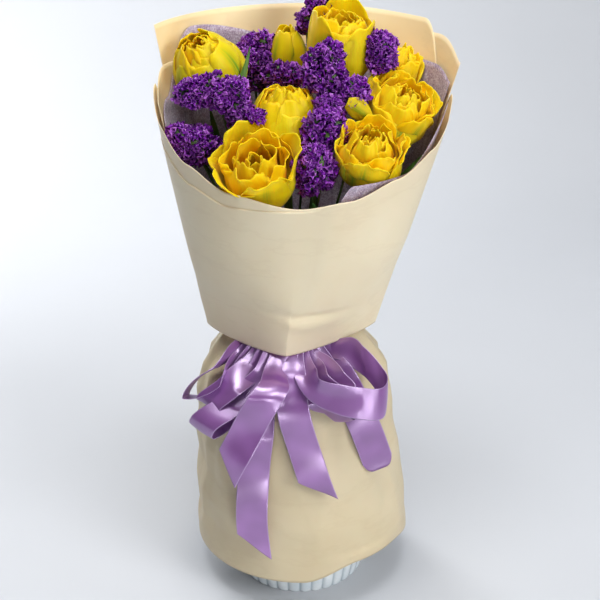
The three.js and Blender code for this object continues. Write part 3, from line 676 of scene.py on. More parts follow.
def vase():
    """Turned in fine steps, with rounded ribs round the outside."""
    outside = curve(VASE_OUTSIDE, np.linspace(0, 1, 41))
    inside = curve(VASE_INSIDE, np.linspace(0, 1, 29))
    profile = np.concatenate([[[0.5, 0]], outside, inside])
    angles = np.linspace(0, 2 * np.pi, FLUTES * 10, endpoint=False)
    rib = np.abs(np.sin(FLUTES / 2 * angles)) ** 0.6
    rows, grooves = [], []
    for i, (radius, height) in enumerate(profile):
        ribbed = 1.0 if 2 <= i <= len(outside) else 0.0
        rows.append(level_ring(radius + 0.2 + FLUTE_DEPTH * ribbed * (rib - 1), angles, height))
        # where the painted shade goes: the grooves between the ribs
        grooves.append(ribbed * (1 - rib) ** 2)
    shape = Shape()
    faces = tube_faces(len(angles), len(profile) - 1)
    shape.add(np.concatenate(rows), faces, groove=np.concatenate(grooves))
    piece("vase_glazed", shape, [GLAZE], ["vase"])


# ------------------------------------------------------------------ ribbon


def from_knot(degrees):
    s, c = math.sin(math.radians(degrees)), math.cos(math.radians(degrees))
    at = [KNOT[0] + (KNOT_SIZE[0] - 0.5) * s, KNOT[1] - (KNOT_SIZE[1] - 0.5) * c, KNOT[2]]
    return at, (0, 0, 1), 8


def fan(degrees, distance, z, side=(0, 0, 1), width=8):
    s, c = math.sin(math.radians(degrees)), math.cos(math.radians(degrees))
    return [KNOT[0] + distance * s, KNOT[1] - distance * c, z], side, width


# The ways that the widths of some strands lie.
LEFT_1 = (-0.1, -0.87, 0.4)
LEFT_2 = (0.68, -0.72, -0.15)  # turned a little to the front, with the loop open below
LEFT_3 = (0.75, -0.64, -0.12)
TAIL_4 = (0.92, 0.1, 0.4)
RIGHT_2 = (0.6, -0.3, 0.73)
RIGHT_3 = (0.5, -0.7, 0.5)

# Each strand's stations: where it passes, the way its width lies, and its width where it is drawn in.
BOW = {
    "bow_loop_left_1": [
        from_knot(-112), fan(-104, 19, 236), fan(-94, 32, 226, (-0.1, -0.6, 0.7)),
        ([-65, -44, 215], LEFT_1), ([-87, -48, 198], LEFT_1),
        ([-90, -51, 192], LEFT_1), ([-82, -53, 192], LEFT_1),
        ([-62, -54, 205], LEFT_1),
        fan(-80, 34, 220, (-0.1, -0.8, 0.5), 11), fan(-90, 20, 233), from_knot(-98),
    ],
    "bow_loop_left_2": [
        from_knot(-84), fan(-76, 20, 232), fan(-68, 32, 219, LEFT_2, 14),
        ([-50, -58, 203], LEFT_2), ([-64, -60, 192], LEFT_2),
        ([-71, -64, 192], LEFT_2), ([-68, -66, 199], LEFT_2), ([-54, -63, 210], LEFT_2),
        fan(-61, 31, 218, LEFT_2, 14), fan(-66, 20, 230, width=7), from_knot(-72),
    ],
    "bow_loop_left_3": [
        from_knot(-58), fan(-54, 20, 229, width=6), fan(-50, 32, 213, LEFT_3, 14),
        ([-50, -66, 191], LEFT_3), ([-67, -69, 177], LEFT_3),
        ([-75, -73, 176], LEFT_3), ([-73, -76, 184], LEFT_3), ([-55, -73, 198], LEFT_3),
        fan(-38, 33, 212, LEFT_3, 14), fan(-40, 20, 227, width=6), from_knot(-45),
    ],
    "bow_tail_1": [
        from_knot(-25), fan(-22, 20, 227, width=6), fan(-20, 31, 220, (0.6, -0.2, 0.6), 10),
        ([-19, -74, 217], [0.9, 0, -0.3], 20), ([-28, -84, 207], [0.88, 0, -0.45]),
        ([-47, -89, 170], [0.83, -0.3, -0.45]), ([-60, -90, 143], [0.75, -0.45, -0.45]),
    ],
    "bow_tail_2": [
        from_knot(-8), fan(-6, 20, 226, width=6), fan(-12, 30, 214, (0.8, 0, 0.4), 10),
        ([-27, -63, 197], [0.96, 0.1, -0.25], 18), ([-33, -69, 167], [0.98, 0.1, -0.15]),
        ([-37, -77, 125], [1, 0, 0]), ([-38, -84, 92], [1, 0, 0.1]), ([-35, -87, 60], [1, 0, 0.15]),
    ],
    "bow_tail_3": [
        from_knot(8), fan(8, 20, 226, width=6), fan(6, 30, 217, (0.8, 0, 0.4), 10),
        ([-6, -70, 199], [0.97, 0, 0.2]), ([0, -76, 171], [0.97, 0, 0.2]),
        ([10, -81, 139], [0.95, 0, 0.3]), ([18, -83, 114], [0.95, 0, 0.3]),
    ],
    "bow_tail_4": [
        from_knot(92), fan(90, 20, 230, (0.4, 0.2, 0.8), 7), fan(82, 29, 219.5, (0.6, 0.3, 0.5), 7),
        ([30, -46, 212], [0.8, 0, 0.45], 14), ([36, -53, 201], [0.9, 0.2, 0.4]),
        ([45, -58, 183], TAIL_4), ([53, -60, 164], TAIL_4),
        ([64, -62, 131], TAIL_4),
    ],
    "bow_loop_right_1": [
        from_knot(112), fan(108, 20, 236), fan(88, 32, 226, (-0.1, 0.6, 0.75), 6),
        ([36, -37, 227], [-0.1, 0.6, 0.8], 12), ([49, -45, 221], [-0.1, 0.5, 0.88]),
        ([61, -54, 211], [0, 0.4, 0.9]), ([66, -64, 205], [0, 0.3, 0.95]),
        ([61, -75, 202], [0, 0.25, 0.97]), ([46, -81, 205], [0, 0.25, 0.97]),
        ([29, -82, 209], [0.1, 0.15, 0.98], 23), ([13, -75, 213], [0.2, 0, 0.95], 16),
        fan(23, 31, 219, (0.2, -0.2, 0.9), 9), fan(24, 19, 226, width=6), from_knot(24),
    ],
    "bow_loop_right_2": [
        from_knot(52), fan(50, 19, 226, width=6), fan(51, 31, 221, (0.5, -0.3, 0.75), 9),
        ([27, -62, 215], RIGHT_2, 16), ([34, -68, 209], RIGHT_2, 20),
        ([34, -73, 207], RIGHT_2, 20), ([28, -74, 210], RIGHT_2, 20),
        ([16, -69, 217], [0.55, -0.3, 0.75], 15),
        fan(37, 30, 220, (0.5, -0.3, 0.75), 9), fan(37, 19, 226, width=6), from_knot(38),
    ],
    "bow_loop_right_3": [
        from_knot(79), fan(74, 19, 227, width=6), fan(64, 31, 214, (0.5, -0.4, 0.5), 9),
        ([29, -61, 200], [0.55, -0.5, 0.6], 16), ([37, -69, 190], [0.5, -0.65, 0.5]),
        ([38, -73, 186], RIGHT_3), ([34, -75, 184], RIGHT_3),
        ([25, -72, 191], RIGHT_3), ([15, -67, 200], [0.45, -0.6, 0.6], 14),
        fan(50, 30, 208, (0.4, -0.5, 0.6), 7), fan(62, 18, 226, width=6), from_knot(66),
    ],
}
# How far a tail's right edge runs on past its left one, as a share of its length.
LEANS = {"bow_tail_1": 0.15, "bow_tail_2": 0.13, "bow_tail_3": 0.17}
ROUNDED = ("bow_tail_4",)  # ends whose corners turn in
PLEATS = 1.0  # folds across a ribbon where it is drawn in
PLEAT_DEPTH = 0.7
DRAWN_IN = 15  # strands narrower than this are near the knot
PINCH = 0.3  # a small power, so a strand that is drawn in keeps most of its width
STEP = 1.8  # between the rows along a ribbon
FACING = unit([0, -0.89, 0.46])  # the way the bow is spread to


def centripetal(points, count):
    """Points spaced evenly along a smooth curve through the given ones, and their shares of the way."""
    points = np.array(points, float)
    ends = [2 * points[0] - points[1], *points, 2 * points[-1] - points[-2]]
    knots = np.concatenate([[0], np.cumsum(np.linalg.norm(np.diff(ends, axis=0), axis=1) ** 0.5)])
    fine, shares = [], []
    last = len(points) - 1
    for i in range(last):
        t0, t1, t2, t3 = knots[i : i + 4]
        p0, p1, p2, p3 = ends[i : i + 4]
        t = np.linspace(t1, t2, 24, endpoint=i == last - 1)[:, None]
        a1 = (t1 - t) / (t1 - t0) * p0 + (t - t0) / (t1 - t0) * p1
        a2 = (t2 - t) / (t2 - t1) * p1 + (t - t1) / (t2 - t1) * p2
        a3 = (t3 - t) / (t3 - t2) * p2 + (t - t2) / (t3 - t2) * p3
        b1 = (t2 - t) / (t2 - t0) * a1 + (t - t0) / (t2 - t0) * a2
        b2 = (t3 - t) / (t3 - t1) * a2 + (t - t1) / (t3 - t1) * a3
        fine.append((t2 - t) / (t2 - t1) * b1 + (t - t1) / (t2 - t1) * b2)
        shares.append((i + (t[:, 0] - t1) / (t2 - t1)) / last)
    fine, shares = np.concatenate(fine), np.concatenate(shares)
    run = np.concatenate([[0], np.cumsum(np.linalg.norm(np.diff(fine, axis=0), axis=1))])
    even = np.linspace(0, run[-1], count)
    return read_line(even, run, fine), np.interp(even, run, shares), run[-1]


def lay_threads(obj):
    """A map of the ribbon's width and length, which the satin's sheen takes its direction from."""
    across, length = (obj.data.attributes[key].data for key in ("across", "length"))
    layer = obj.data.uv_layers.new(name="threads")
    for loop in obj.data.loops:
        at = loop.vertex_index
        layer.data[loop.index].uv = (across[at].value * RIBBON_WIDTH / 2, length[at].value)


def open_to_front(through, sides, widths):
    """Turns the sides at a strand's drawn-in stations, near the knot, so that it lies open to the front."""
    runs = unit(np.gradient(through, axis=0))
    wide = np.flatnonzero(widths >= DRAWN_IN)
    for i in [*range(wide[0] - 1, -1, -1), *range(wide[-1] + 1, len(widths))]:
        beside = sides[i + 1] if i < wide[0] else sides[i - 1]
        open_side = unit(np.cross(runs[i], FACING))
        sides[i] = open_side * np.sign(open_side @ beside)


def satin_lift(u, row, width, travelled, seed):
    """What the width loses as it is pinched goes into folds; where it is free, the satin waves a little."""
    spare = np.sqrt(np.maximum(0, (RIBBON_WIDTH / width) ** 2 - 1))
    depth = np.minimum(spare * width / (2 * np.pi * PLEATS), PLEAT_DEPTH)
    fold = depth * np.sin(2 * np.pi * PLEATS * u + seed + 0.02 * row)
    free = ease((width - 17) / 8)
    arch = 1.1 * (1 - (2 * u - 1) ** 2) * np.sin(travelled * 0.075 + seed) * free
    wave = 1.5 * np.sin(travelled * 0.11 + 2 * seed)
    tilt = 0.5 * (2 * u - 1) * np.sin(travelled * 0.09 + seed)
    return fold + arch + (wave + tilt) * free


def ribbon(name, stations, lean, seed):
    """A strip of satin through its stations."""
    across = 24
    through = np.array([centre for centre, *_ in stations], float)
    sides = unit([side for _, side, *_ in stations])
    widths = np.array([width[0] if width else RIBBON_WIDTH for _, _, *width in stations], float)
    open_to_front(through, sides, widths)
    widths = RIBBON_WIDTH * (widths / RIBBON_WIDTH) ** PINCH
    length = centripetal(through, 4)[2]
    up = int(length / STEP)
    centres, shares, length = centripetal(through, up + 1)
    at = shares * (len(stations) - 1)
    side = unit(read_line(at, np.arange(len(sides)), sides))
    width = np.interp(at, np.arange(len(widths)), widths)
    u, v = grid_uv(across, up)
    cut = (1 - u) * lean
    if name in ROUNDED:
        cut = 0.07 * np.abs(2 * u - 1) ** 5
    row = v * up * (1 - cut * v**4)
    rows = np.arange(up + 1)
    centre, sideways = read_line(row, rows, centres), unit(read_line(row, rows, side))
    run = unit(read_line(row, rows, unit(np.gradient(centres, axis=0))))
    out = unit(np.cross(run, sideways))
    width = np.interp(row, rows, width)
    travelled = row / up * length
    lift = satin_lift(u, row, width, travelled, seed)
    points = centre + sideways * ((u - 0.5) * width)[:, None] + out * lift[:, None]
    shape = Shape()
    shape.add(points, grid_faces(across, up), across=2 * u - 1, length=travelled)
    obj = piece(name + "_satin", shape, [LILAC], [name], SATIN)
    lay_threads(obj)


def knot():
    """A ribbon wound tightly round the middle: a drum with folds running round it."""
    up = 28
    angles = np.linspace(0, 2 * np.pi, 72, endpoint=False)
    rows, across = [], []
    for height in np.linspace(-1, 1, up + 1):
        belly = (1 - abs(height) ** 3) ** 0.5 * 0.96 + 0.02
        folds = 1 + 0.035 * np.sin(9 * height + 1.2 * np.sin(angles)) * (1 - height**2)
        rows.append(KNOT + KNOT_SIZE * level_ring(belly * folds, angles, height))
        across.append(np.full(len(angles), height * 0.85))
    shape = Shape()
    shape.add(np.concatenate(rows), tube_faces(len(angles), up), across=np.concatenate(across),
              length=np.tile(angles * 8, up + 1))
    lay_threads(piece("knot_satin", shape, [LILAC], ["bow_knot"]))


def band():
    """The ribbon round the waist, drawn into folds that run round it."""
    up = 48
    angles = np.linspace(0, 2 * np.pi, 180, endpoint=False)
    rows, across = [], []
    for t in np.linspace(-1, 1, up + 1):
        r = BAND_RADIUS + 0.4 + 0.8 * np.sin(12.5 * t + 0.7 * np.sin(3 * angles))
        rows.append(level_ring(r, angles, 243 + 6 * t) + [WAIST_X, 0, 0])
        across.append(np.full(len(angles), t))
    shape = Shape()
    shape.add(np.concatenate(rows), grid_faces(len(angles), up, wrap=True), across=np.concatenate(across),
              length=np.tile(angles * BAND_RADIUS, up + 1))
    obj = piece("band_satin", shape, [LILAC], ["waist_ribbon"], BAND)
    lay_threads(obj)


# ------------------------------------------------------------------ stems


def cad_points(node):
    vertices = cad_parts[node].data.vertices
    found = np.empty(len(vertices) * 3)
    vertices.foreach_get("co", found)
    return np.unique((found.reshape(-1, 3) / MM).round(3), axis=0)


def stem_route(node, radius):
    """The middle line of a stem, read from the rings of points along its CAD node."""
    points = cad_points(node)
    route = [points[points[:, 2] < FLOOR_Z + LEVEL / 2].mean(axis=0)]
    above = points[(points[:, 2] > FLOOR_Z + LEVEL / 2) & (points[:, 2] < FLOOR_Z + 1.5 * LEVEL)]
    route.append(above.mean(axis=0))
    while True:
        guess = 2 * route[-1] - route[-2]
        ring = points[np.linalg.norm(points - guess, axis=1) < radius + 4]
        if len(ring) < 4:
            return np.array(route)
        route.append(ring.mean(axis=0))


def at_height(route, z):
    return np.array([np.interp(z, route[:, 2], route[:, 0]), np.interp(z, route[:, 2], route[:, 1]), z])


def last_level(end_z):
    """The highest of the stems' levels below a height."""
    return FLOOR_Z + LEVEL * math.floor((end_z - FLOOR_Z) / LEVEL)


def tube(shape, route, radius, sides, slot=0, taper=1.0, **fields):
    count = max(4, (len(route) - 1) * 6)
    line, shares, _ = centripetal(route, count)
    run = unit(np.gradient(line, axis=0))
    first = unit(np.cross(run, [0.3, 1, 0.1]))
    second = np.cross(run, first)
    angles = np.linspace(0, 2 * np.pi, sides, endpoint=False)
    r = radius * mix(1, taper, shares)[:, None, None]
    ring = first[:, None] * np.cos(angles)[None, :, None] + second[:, None] * np.sin(angles)[None, :, None]
    points = (line[:, None] + r * ring).reshape(-1, 3)
    shape.add(points, tube_faces(sides, count - 1), slot, **fields)


# ------------------------------------------------------------------ tulips

# Rings of petals from the outside in: number, radius, height and half width shares, how far the
# tips flare (+) or close (-), how ruffled the rims are, and the first bearing.
BALL = [
    (3, 1.0, 0.80, 1.0, -0.12, 0.03, 0),
    (3, 0.98, 0.92, 0.95, -0.22, 0.04, 62),
    (5, 0.90, 0.99, 0.66, -0.34, 0.06, 20),
    (5, 0.76, 1.03, 0.6, -0.42, 0.08, 50),
    (4, 0.6, 1.03, 0.52, -0.45, 0.1, 10),
    (4, 0.42, 1.0, 0.4, -0.35, 0.14, 40),
    (3, 0.24, 0.94, 0.3, -0.1, 0.16, 0),
]
RUFFLED = [
    (3, 1.0, 0.74, 1.0, -0.1, 0.03, 0),
    (4, 1.0, 0.86, 0.86, 0.12, 0.09, 52),
    (5, 0.92, 0.95, 0.7, 0.02, 0.1, 20),
    (5, 0.76, 1.0, 0.6, -0.2, 0.12, 50),
    (5, 0.56, 1.0, 0.5, -0.3, 0.14, 10),
    (4, 0.36, 0.96, 0.36, -0.2, 0.16, 40),
    (3, 0.2, 0.9, 0.26, 0.0, 0.16, 0),
]
BUD = [
    (3, 1.0, 0.96, 1.15, -0.34, 0.02, 0),
    (3, 0.93, 1.0, 1.1, -0.42, 0.03, 60),
    (3, 0.6, 1.0, 0.8, -0.4, 0.05, 30),
]
TALL = [
    (3, 1.0, 0.88, 1.0, 0.0, 0.02, 0),
    (3, 0.97, 1.0, 0.98, -0.06, 0.03, 60),
    (4, 0.86, 0.96, 0.76, -0.2, 0.06, 25),
    (4, 0.7, 0.94, 0.62, -0.3, 0.09, 50),
    (4, 0.5, 0.9, 0.48, -0.25, 0.12, 0),
    (3, 0.28, 0.84, 0.34, -0.1, 0.14, 30),
]
OPEN = [
    (3, 1.0, 0.80, 1.05, 0.06, 0.05, 0),
    (4, 1.0, 0.97, 0.92, 0.12, 0.09, 60),
    (4, 0.84, 1.0, 0.95, -0.02, 0.16, 20),
    (3, 0.58, 0.96, 0.95, -0.15, 0.2, 55),
    (3, 0.32, 0.86, 0.6, -0.2, 0.22, 10),
]
# A bloom's middle, the way it faces, its radius and height are as in the frame. Swell is added to the
# radius in mm, tall is a share of the height, turn is the first petal's bearing, and green is how
# strong the green marks are.
Tulip = namedtuple("Tulip", "at faces radius height rings turn green swell tall")
TULIPS = [
    Tulip((-69, 22, 434), (-0.3, -0.35, 0.9), 26, 46, BALL, 36, 1.0, 1.0, 1.0),
    Tulip((-9, 46, 438), (0, -0.05, 1), 12.5, 42, BUD, 100, 0.8, 1.3, 0.97),
    Tulip((30, 25, 452), (0.08, -0.2, 0.98), 24.5, 54, TALL, 20, 0.2, 0.3, 0.94),
    Tulip((73, -6, 413), (0.3, -0.3, 0.9), 25.5, 46, RUFFLED, 160, 0.9, 0.3, 0.84),
    Tulip((71, 37, 421), (0.25, 0.1, 0.95), 18, 40, RUFFLED, 70, 0.25, -0.6, 1.1),
    Tulip((-10, -7, 401), (0, -0.25, 0.96), 25, 52, BALL, 200, 0.1, 3.0, 1.02),
    Tulip((-31, -50, 378), (-0.08, -0.45, 0.88), 26.5, 46, OPEN, 50, 0.5, 0.5, 1.0),
    Tulip((49, -45, 390), (0.12, -0.4, 0.9), 23, 40, RUFFLED, 120, 0.9, 0.5, 1.0),
]


def petal(shape, rng, radius, height, width, bearing, ring, flare, ruffle, depth, green):
    """One petal wrapped round the bloom's axis: across runs over it, length from base to tip."""
    across, up = 20, 22
    u, v = grid_uv(across, up)
    u = 2 * u - 1
    # a rounded tip, sometimes notched
    tip = rng.uniform(0.18, 0.36)
    reach = v * (1 - tip * np.abs(u) ** rng.uniform(2.0, 3.0))
    notch = rng.uniform(0.0, 0.08) * bell(u - rng.uniform(-0.35, 0.35), 0.15)
    reach = reach * (1 - notch * v**3)
    # the bowl of the bloom, and the petal's width up it
    belly = rng.uniform(0.0, 0.05)
    outline = [0.1, 0.72 + belly, 0.96 + belly, 1.01, 1.0 + 0.5 * flare, 0.94 + 1.2 * flare]
    r = radius * curve(outline, reach)
    z = height * curve([0.0, 0.06, 0.27, 0.55, 0.8, 1.0], reach)
    half = width * curve([0.3, 0.7, 0.95, 1.06, 1.02, 0.8], v)
    cup = rng.uniform(-0.15, -0.03) if ring < 2 else rng.uniform(-0.12, 0.05)
    turn = np.radians(bearing) + u * half / np.maximum(r, 0.35 * radius)
    # the ruffled rim, the rib along the middle and the curl of the tip
    rim = ease((np.maximum(np.abs(u) ** 1.5 * ease(v * 1.5), v**2.5) - 0.3) / 0.7)
    waves = sum(
        rng.uniform(0.5, 1) / k * np.sin(k * (2.3 * u * (1 + v) + rng.uniform(0, 6)) + k * 2.6 * v)
        for k in (1.0, 2.1, 3.6)
    )
    lean = rng.uniform(-0.05, 0.05) * u + rng.uniform(-0.03, 0.03)
    rib = -0.03 * bell(u, 0.12) * (1 - v)
    curl = rng.uniform(-0.02, 0.1) * ease((v - 0.82) / 0.18) * (1 if flare > -0.1 else -0.4)
    r = r + radius * (ruffle * rim * waves + cup * u**2 * ease(v * 2) + (lean + rib) * v + curl)
    z = z + height * 0.35 * ruffle * rim * np.roll(waves, across // 3)
    sag = rng.uniform(0, 0.06) * height * u * v
    points = xyz(r * np.cos(turn), r * np.sin(turn), z + sag)
    # green marks up the middle, at the foot and along the edges
    stripe = bell(u, 0.17) * ease((1.1 - v) / 0.5) * ease(v * 4)
    foot = ease((0.42 - v) / 0.34)
    edge = ease((np.abs(u) - 0.7) / 0.3) * ease((1.0 - v) / 0.3)
    marks = green * np.clip(stripe + foot + edge * 0.9, 0, 1) * (1 if ring < 2 else 0.12)
    # painted shade: darker on the inner rings and towards the petal's foot, lighter along its ruffled rim
    dark = np.clip(depth + 0.6 * (1 - v) ** 1.6 - 0.2 * rim, 0, 1)
    shape.add(points, grid_faces(across, up), 0, across=u, length=v, depth=dark, green=marks,
              tint=rng.uniform(0, 1))


def bloom(index, tulip):
    axis = unit(tulip.faces)
    base = np.array(tulip.at) - axis * tulip.height / 2
    spin = turned_to(axis)
    radius, height = tulip.radius + tulip.swell, tulip.height * tulip.tall
    rng = np.random.default_rng(40 + index)
    outer, inner = Shape(), Shape()
    for ring, (count, r, h, w, flare, ruffle, first) in enumerate(tulip.rings):
        target = outer if ring < 2 else inner
        for k in range(count):
            bearing = tulip.turn + first + 360 * k / count + rng.uniform(-7, 7)
            # painted shade that grows ring by ring towards the heart
            depth = 0.04 + 0.08 * ring
            petal(target, rng, radius * r * rng.uniform(0.96, 1.03), height * h * rng.uniform(0.88, 1.04),
                  radius * w * rng.uniform(0.94, 1.06), bearing, ring, flare * rng.uniform(0.8, 1.25),
                  ruffle, depth, tulip.green)
    for part, shape, material, slot in (
        ("outer", outer, YELLOW, "petal"),
        ("inner", inner, GOLD, "petal_inner"),
    ):
        shape.points = [points @ spin.T + base for points in shape.points]
        piece(f"bloom_{index}_{part}", shape, [material], [f"tulip_{index}_{part}_petals"], PETAL)


# The stem that a leaf clasps and how high, the middle and the tip of its line, its width, and the way
# the width lies.
Leaf = namedtuple("Leaf", "stem height middle tip width wide")
LEAVES = [
    Leaf(0, 306, (-47, 5, 396), (-36, 10, 452), 11, (0.95, 0.2, 0.2)),
    Leaf(0, 266, (-57, 8, 362), (-67, 8, 408), 12, (0.9, 0.3, 0.2)),
    Leaf(6, 286, (-50, -33, 336), (-74, -39, 372), 18, (0.7, -0.3, 0.6)),
    Leaf(7, 286, (14, -46, 330), (9, -68, 362), 18, (0.95, 0, 0.2)),
    Leaf(3, 286, (56, -22, 340), (89, -20, 380), 16, (0.5, -0.7, -0.4)),
]
STEM_RADIUS = 3.4
CLEAR = 1.2  # from a stem's surface to the leaf that clasps it
PARTING = 4.4  # how much further from its stem the leaf is one level up
SHEATH_WIDTH = 4.5  # of a leaf at its foot
LEAF_FOLD = 0.18


def blade(shape, route, clasp, wide, width_at, fold, **fields):
    """A long blade, folded along its middle; its width turns from clasp at the foot to wide."""
    across, up = 12, 48
    line, _, _ = centripetal(route, up + 1)
    run = unit(np.gradient(line, axis=0))
    v = np.linspace(0, 1, up + 1)
    side = unit(mix(np.array(clasp), np.array(wide), ease(v * 2)[:, None]))
    raised = unit(np.cross(run, side))
    width = width_at(v)
    u = np.linspace(-0.5, 0.5, across + 1)
    reach = u[None, :] * width[:, None]
    ripple = 0.35 * np.sin(v * 11 + 1)[:, None] * (2 * u[None, :]) ** 3 * (width[:, None] / 12)
    veins = 0.05 * np.cos(u[None, :] * 60)
    lift = np.abs(reach) * fold + ripple + veins
    points = line[:, None] + side[:, None] * reach[..., None] + raised[:, None] * lift[..., None]
    spread = {key: np.broadcast_to(value(2 * u[None, :], v[:, None]), (up + 1, across + 1)).ravel()
              for key, value in fields.items()}
    shape.add(points.reshape(-1, 3), grid_faces(across, up), 0, **spread)


def leaf(index, spec, routes):
    route = routes[spec.stem]
    middle, tip, wide = (np.array(point, float) for point in (spec.middle, spec.tip, spec.wide))
    foot_z = last_level(spec.height + LEVEL / 2)
    away = middle - at_height(route, last_level(middle[2] + LEVEL / 2))
    away[2] = 0
    away = unit(away)
    clear = STEM_RADIUS + CLEAR
    root = at_height(route, foot_z) + away * clear
    following = at_height(route, foot_z + LEVEL) + away * (clear + PARTING)
    clasp = np.array([-away[1], away[0], 0])
    if clasp @ wide < 0:
        clasp = -clasp

    def width_at(v):
        widest = mix(SHEATH_WIDTH, spec.width, ease(v * 2.5))
        return mix(widest, 0.4, np.clip((v - 0.5) * 2, 0, 1) ** 1.8)

    shape = Shape()
    blade(shape, [root, following, middle, tip], clasp, unit(wide), width_at, LEAF_FOLD)
    piece(f"leaf_{index}", shape, [LEAF], [f"tulip_leaf_{index}"], BLADE)


def loose_petal():
    """A petal of tulip 4 that has come away from its bloom on the left."""
    shape = Shape()
    side = unit([0.35, -0.2, 0.9])

    def width_at(v):
        return mix(4, 17, np.sin(np.pi * (0.08 + 0.84 * v)) ** 0.8)

    # its depth field paints an even, light shade over the whole petal
    blade(shape, [(50, -27, 409), (43, -28, 415), (33, -29, 422)], side, side, width_at, 0.3,
          across=lambda u, v: u, length=lambda u, v: v,
          depth=lambda u, v: 0.15, tint=lambda u, v: 0.7,
          green=lambda u, v: 0.95 * bell(u, 0.35) * ease((0.95 - v) * 3))
    piece("loose_petal", shape, [YELLOW], ["tulip_4_loose_petal"], BLADE)


# ------------------------------------------------------------------ statice

# Clusters of florets on each sprig, as middle and half sizes; the stem runs to the first.
STATICE = [
    [((-60, -12, 425), (22, 8, 10)), ((-43, -16, 410), (8, 7, 9))],
    [((-36, 46, 429), (14, 10, 21)), ((-12, 26, 424), (12, 7, 9))],
    [((15, 50, 473), (8, 7, 9)), ((5, 48, 460), (5, 5, 8))],
    [((18, -8, 437), (13, 8, 17)), ((38, -18, 427), (10, 8, 9))],
    [((58.5, 10, 449), (8.5, 7, 12.5))],
    [((17, -34, 404), (13, 9, 12)), ((22, -21, 417), (9, 7, 7)), ((11, -48, 382), (14, 10, 15))],
    [((-76, -18, 385), (14, 9, 12)), ((-87, -17, 393), (7, 7, 9))],
    [((-30, -26.5, 411), (4.5, 1.8, 3.5))],
    [((68, -26.5, 391.5), (4.2, 4.2, 4.2))],
]
SPRIG_RADIUS = 1.5  # of a sprig's stem in the frame; it is drawn a little thinner
FLORET = 3.5  # radius
FLORET_ROOM = 11  # square millimetres of a head's ball for each floret
HEAD_COVER = 1.55  # how much of its ball a head covers with florets, where 2 is all of it


def floret_mesh(rng):
    """A small crinkled funnel of five lobes, as a closed thin body."""
    steps = 10  # a tip and a notch for each lobe
    angles = np.arange(steps) * 2 * np.pi / steps
    rims = np.where(np.arange(steps) % 2 == 0, 1.05, 0.56) * rng.uniform(0.75, 1.2, steps)
    heights = np.where(np.arange(steps) % 2 == 0, 0.75, 1.05) * rng.uniform(0.5, 1.5, steps)
    circle = np.stack([np.cos(angles), np.sin(angles)], axis=-1)
    rim = np.column_stack([circle * rims[:, None], heights])
    throat = np.column_stack([circle * 0.38, np.full(steps, 0.35)])
    under = np.column_stack([circle * (rims * 0.9)[:, None], heights - 0.22])
    neck = np.column_stack([circle * 0.24, np.full(steps, -0.1)])
    points = np.concatenate([[[0, 0, 0.12]], throat, rim, under, neck, [[0, 0, -0.7]]])
    faces = []
    for i in range(steps):
        j = (i + 1) % steps
        rows = [1 + k * steps for k in range(4)]
        faces.append([0, rows[0] + i, rows[0] + j])
        for low, high in zip(rows, rows[1:]):
            faces.append([low + i, high + i, high + j, low + j])
        faces.append([rows[3] + j, rows[3] + i, len(points) - 1][::-1])
    # the tip field, which places the painted shade: low in the middle, the throat and the neck, highest at
    # the rim
    tip = np.concatenate([[0.05], np.full(steps, 0.3), np.full(steps, 1.0), np.full(steps, 0.75),
                          np.full(steps, 0.15), [0.0]])
    return points, faces, tip


def directions(polar, swing):
    return xyz(np.sin(polar) * np.cos(swing), np.sin(polar) * np.sin(swing), np.cos(polar))


def scattered(rng, count, cover):
    """Directions spread evenly round +Z, over the whole sphere where cover is 2, and then shaken."""
    i = np.arange(count) + 0.5
    polar = np.arccos(1 - cover * i / count)
    swing = np.pi * (1 + 5**0.5) * i + rng.uniform(0, 6)
    return directions(polar, swing) + rng.normal(0, 0.12, (count, 3))


def clump(shape, rng, middle, sizes):
    """A lumpy cluster: small heads of florets crowded over an ellipsoid, round green hearts."""
    middle, sizes = np.array(middle, float), np.array(sizes, float)
    small = min(6.0, 0.62 * sizes.min() + 1.2)
    area = 4 * np.pi * (((sizes * np.roll(sizes, 1)) ** 1.6).sum() / 3) ** (1 / 1.6)
    heads = max(1, round(area / (2.6 * small**2)))
    for direction in unit(scattered(rng, heads, 2)):
        size = small * rng.uniform(0.62, 1.2)
        room = np.maximum(sizes - size * 0.6, 0)
        seat = middle + direction * room * rng.uniform(0.7, 1.35)
        outward = unit(direction / sizes)
        head(shape, rng, seat, outward, size)
    heart(shape, rng, middle, sizes * 0.6)


def head(shape, rng, middle, outward, size):
    """One small head: florets over the outer part of a ball."""
    count = max(6, int(2 * np.pi * size**2 / FLORET_ROOM))
    for direction in unit(scattered(rng, count, HEAD_COVER) @ turned_to(outward).T):
        points, faces, tip = floret_mesh(rng)
        spin = turned_to(unit(direction + rng.normal(0, 0.42, 3)))
        twist = rng.uniform(0, 2 * np.pi)
        c, s = math.cos(twist), math.sin(twist)
        points = points @ np.array([[c, s, 0], [-s, c, 0], [0, 0, 1]]) @ spin.T
        seat = middle + direction * (size - 1.5 + rng.uniform(-0.9, 0.9))
        points = seat + points * FLORET * rng.uniform(0.7, 1.15)
        shape.add(points, faces, 0, tip=tip, tint=rng.uniform(0, 1) ** 2)
    heart(shape, rng, middle, np.full(3, size * 0.7))


def heart(shape, rng, middle, sizes):
    """The green middle of a head or of a cluster, which shows between its florets."""
    across, up = 12, 8
    u, v = ring_uv(across, up)
    theta, phi = 2 * np.pi * u, np.pi * (0.02 + 0.96 * v)
    out = directions(phi, theta) * [1, 1, -1]
    rough = 1 + 0.16 * np.sin(out @ rng.normal(0, 6, (3, 3)) + 1).sum(axis=1) / 1.7
    shape.add(middle + out * sizes * rough[:, None], tube_faces(across, up), 1, tip=0, tint=0)


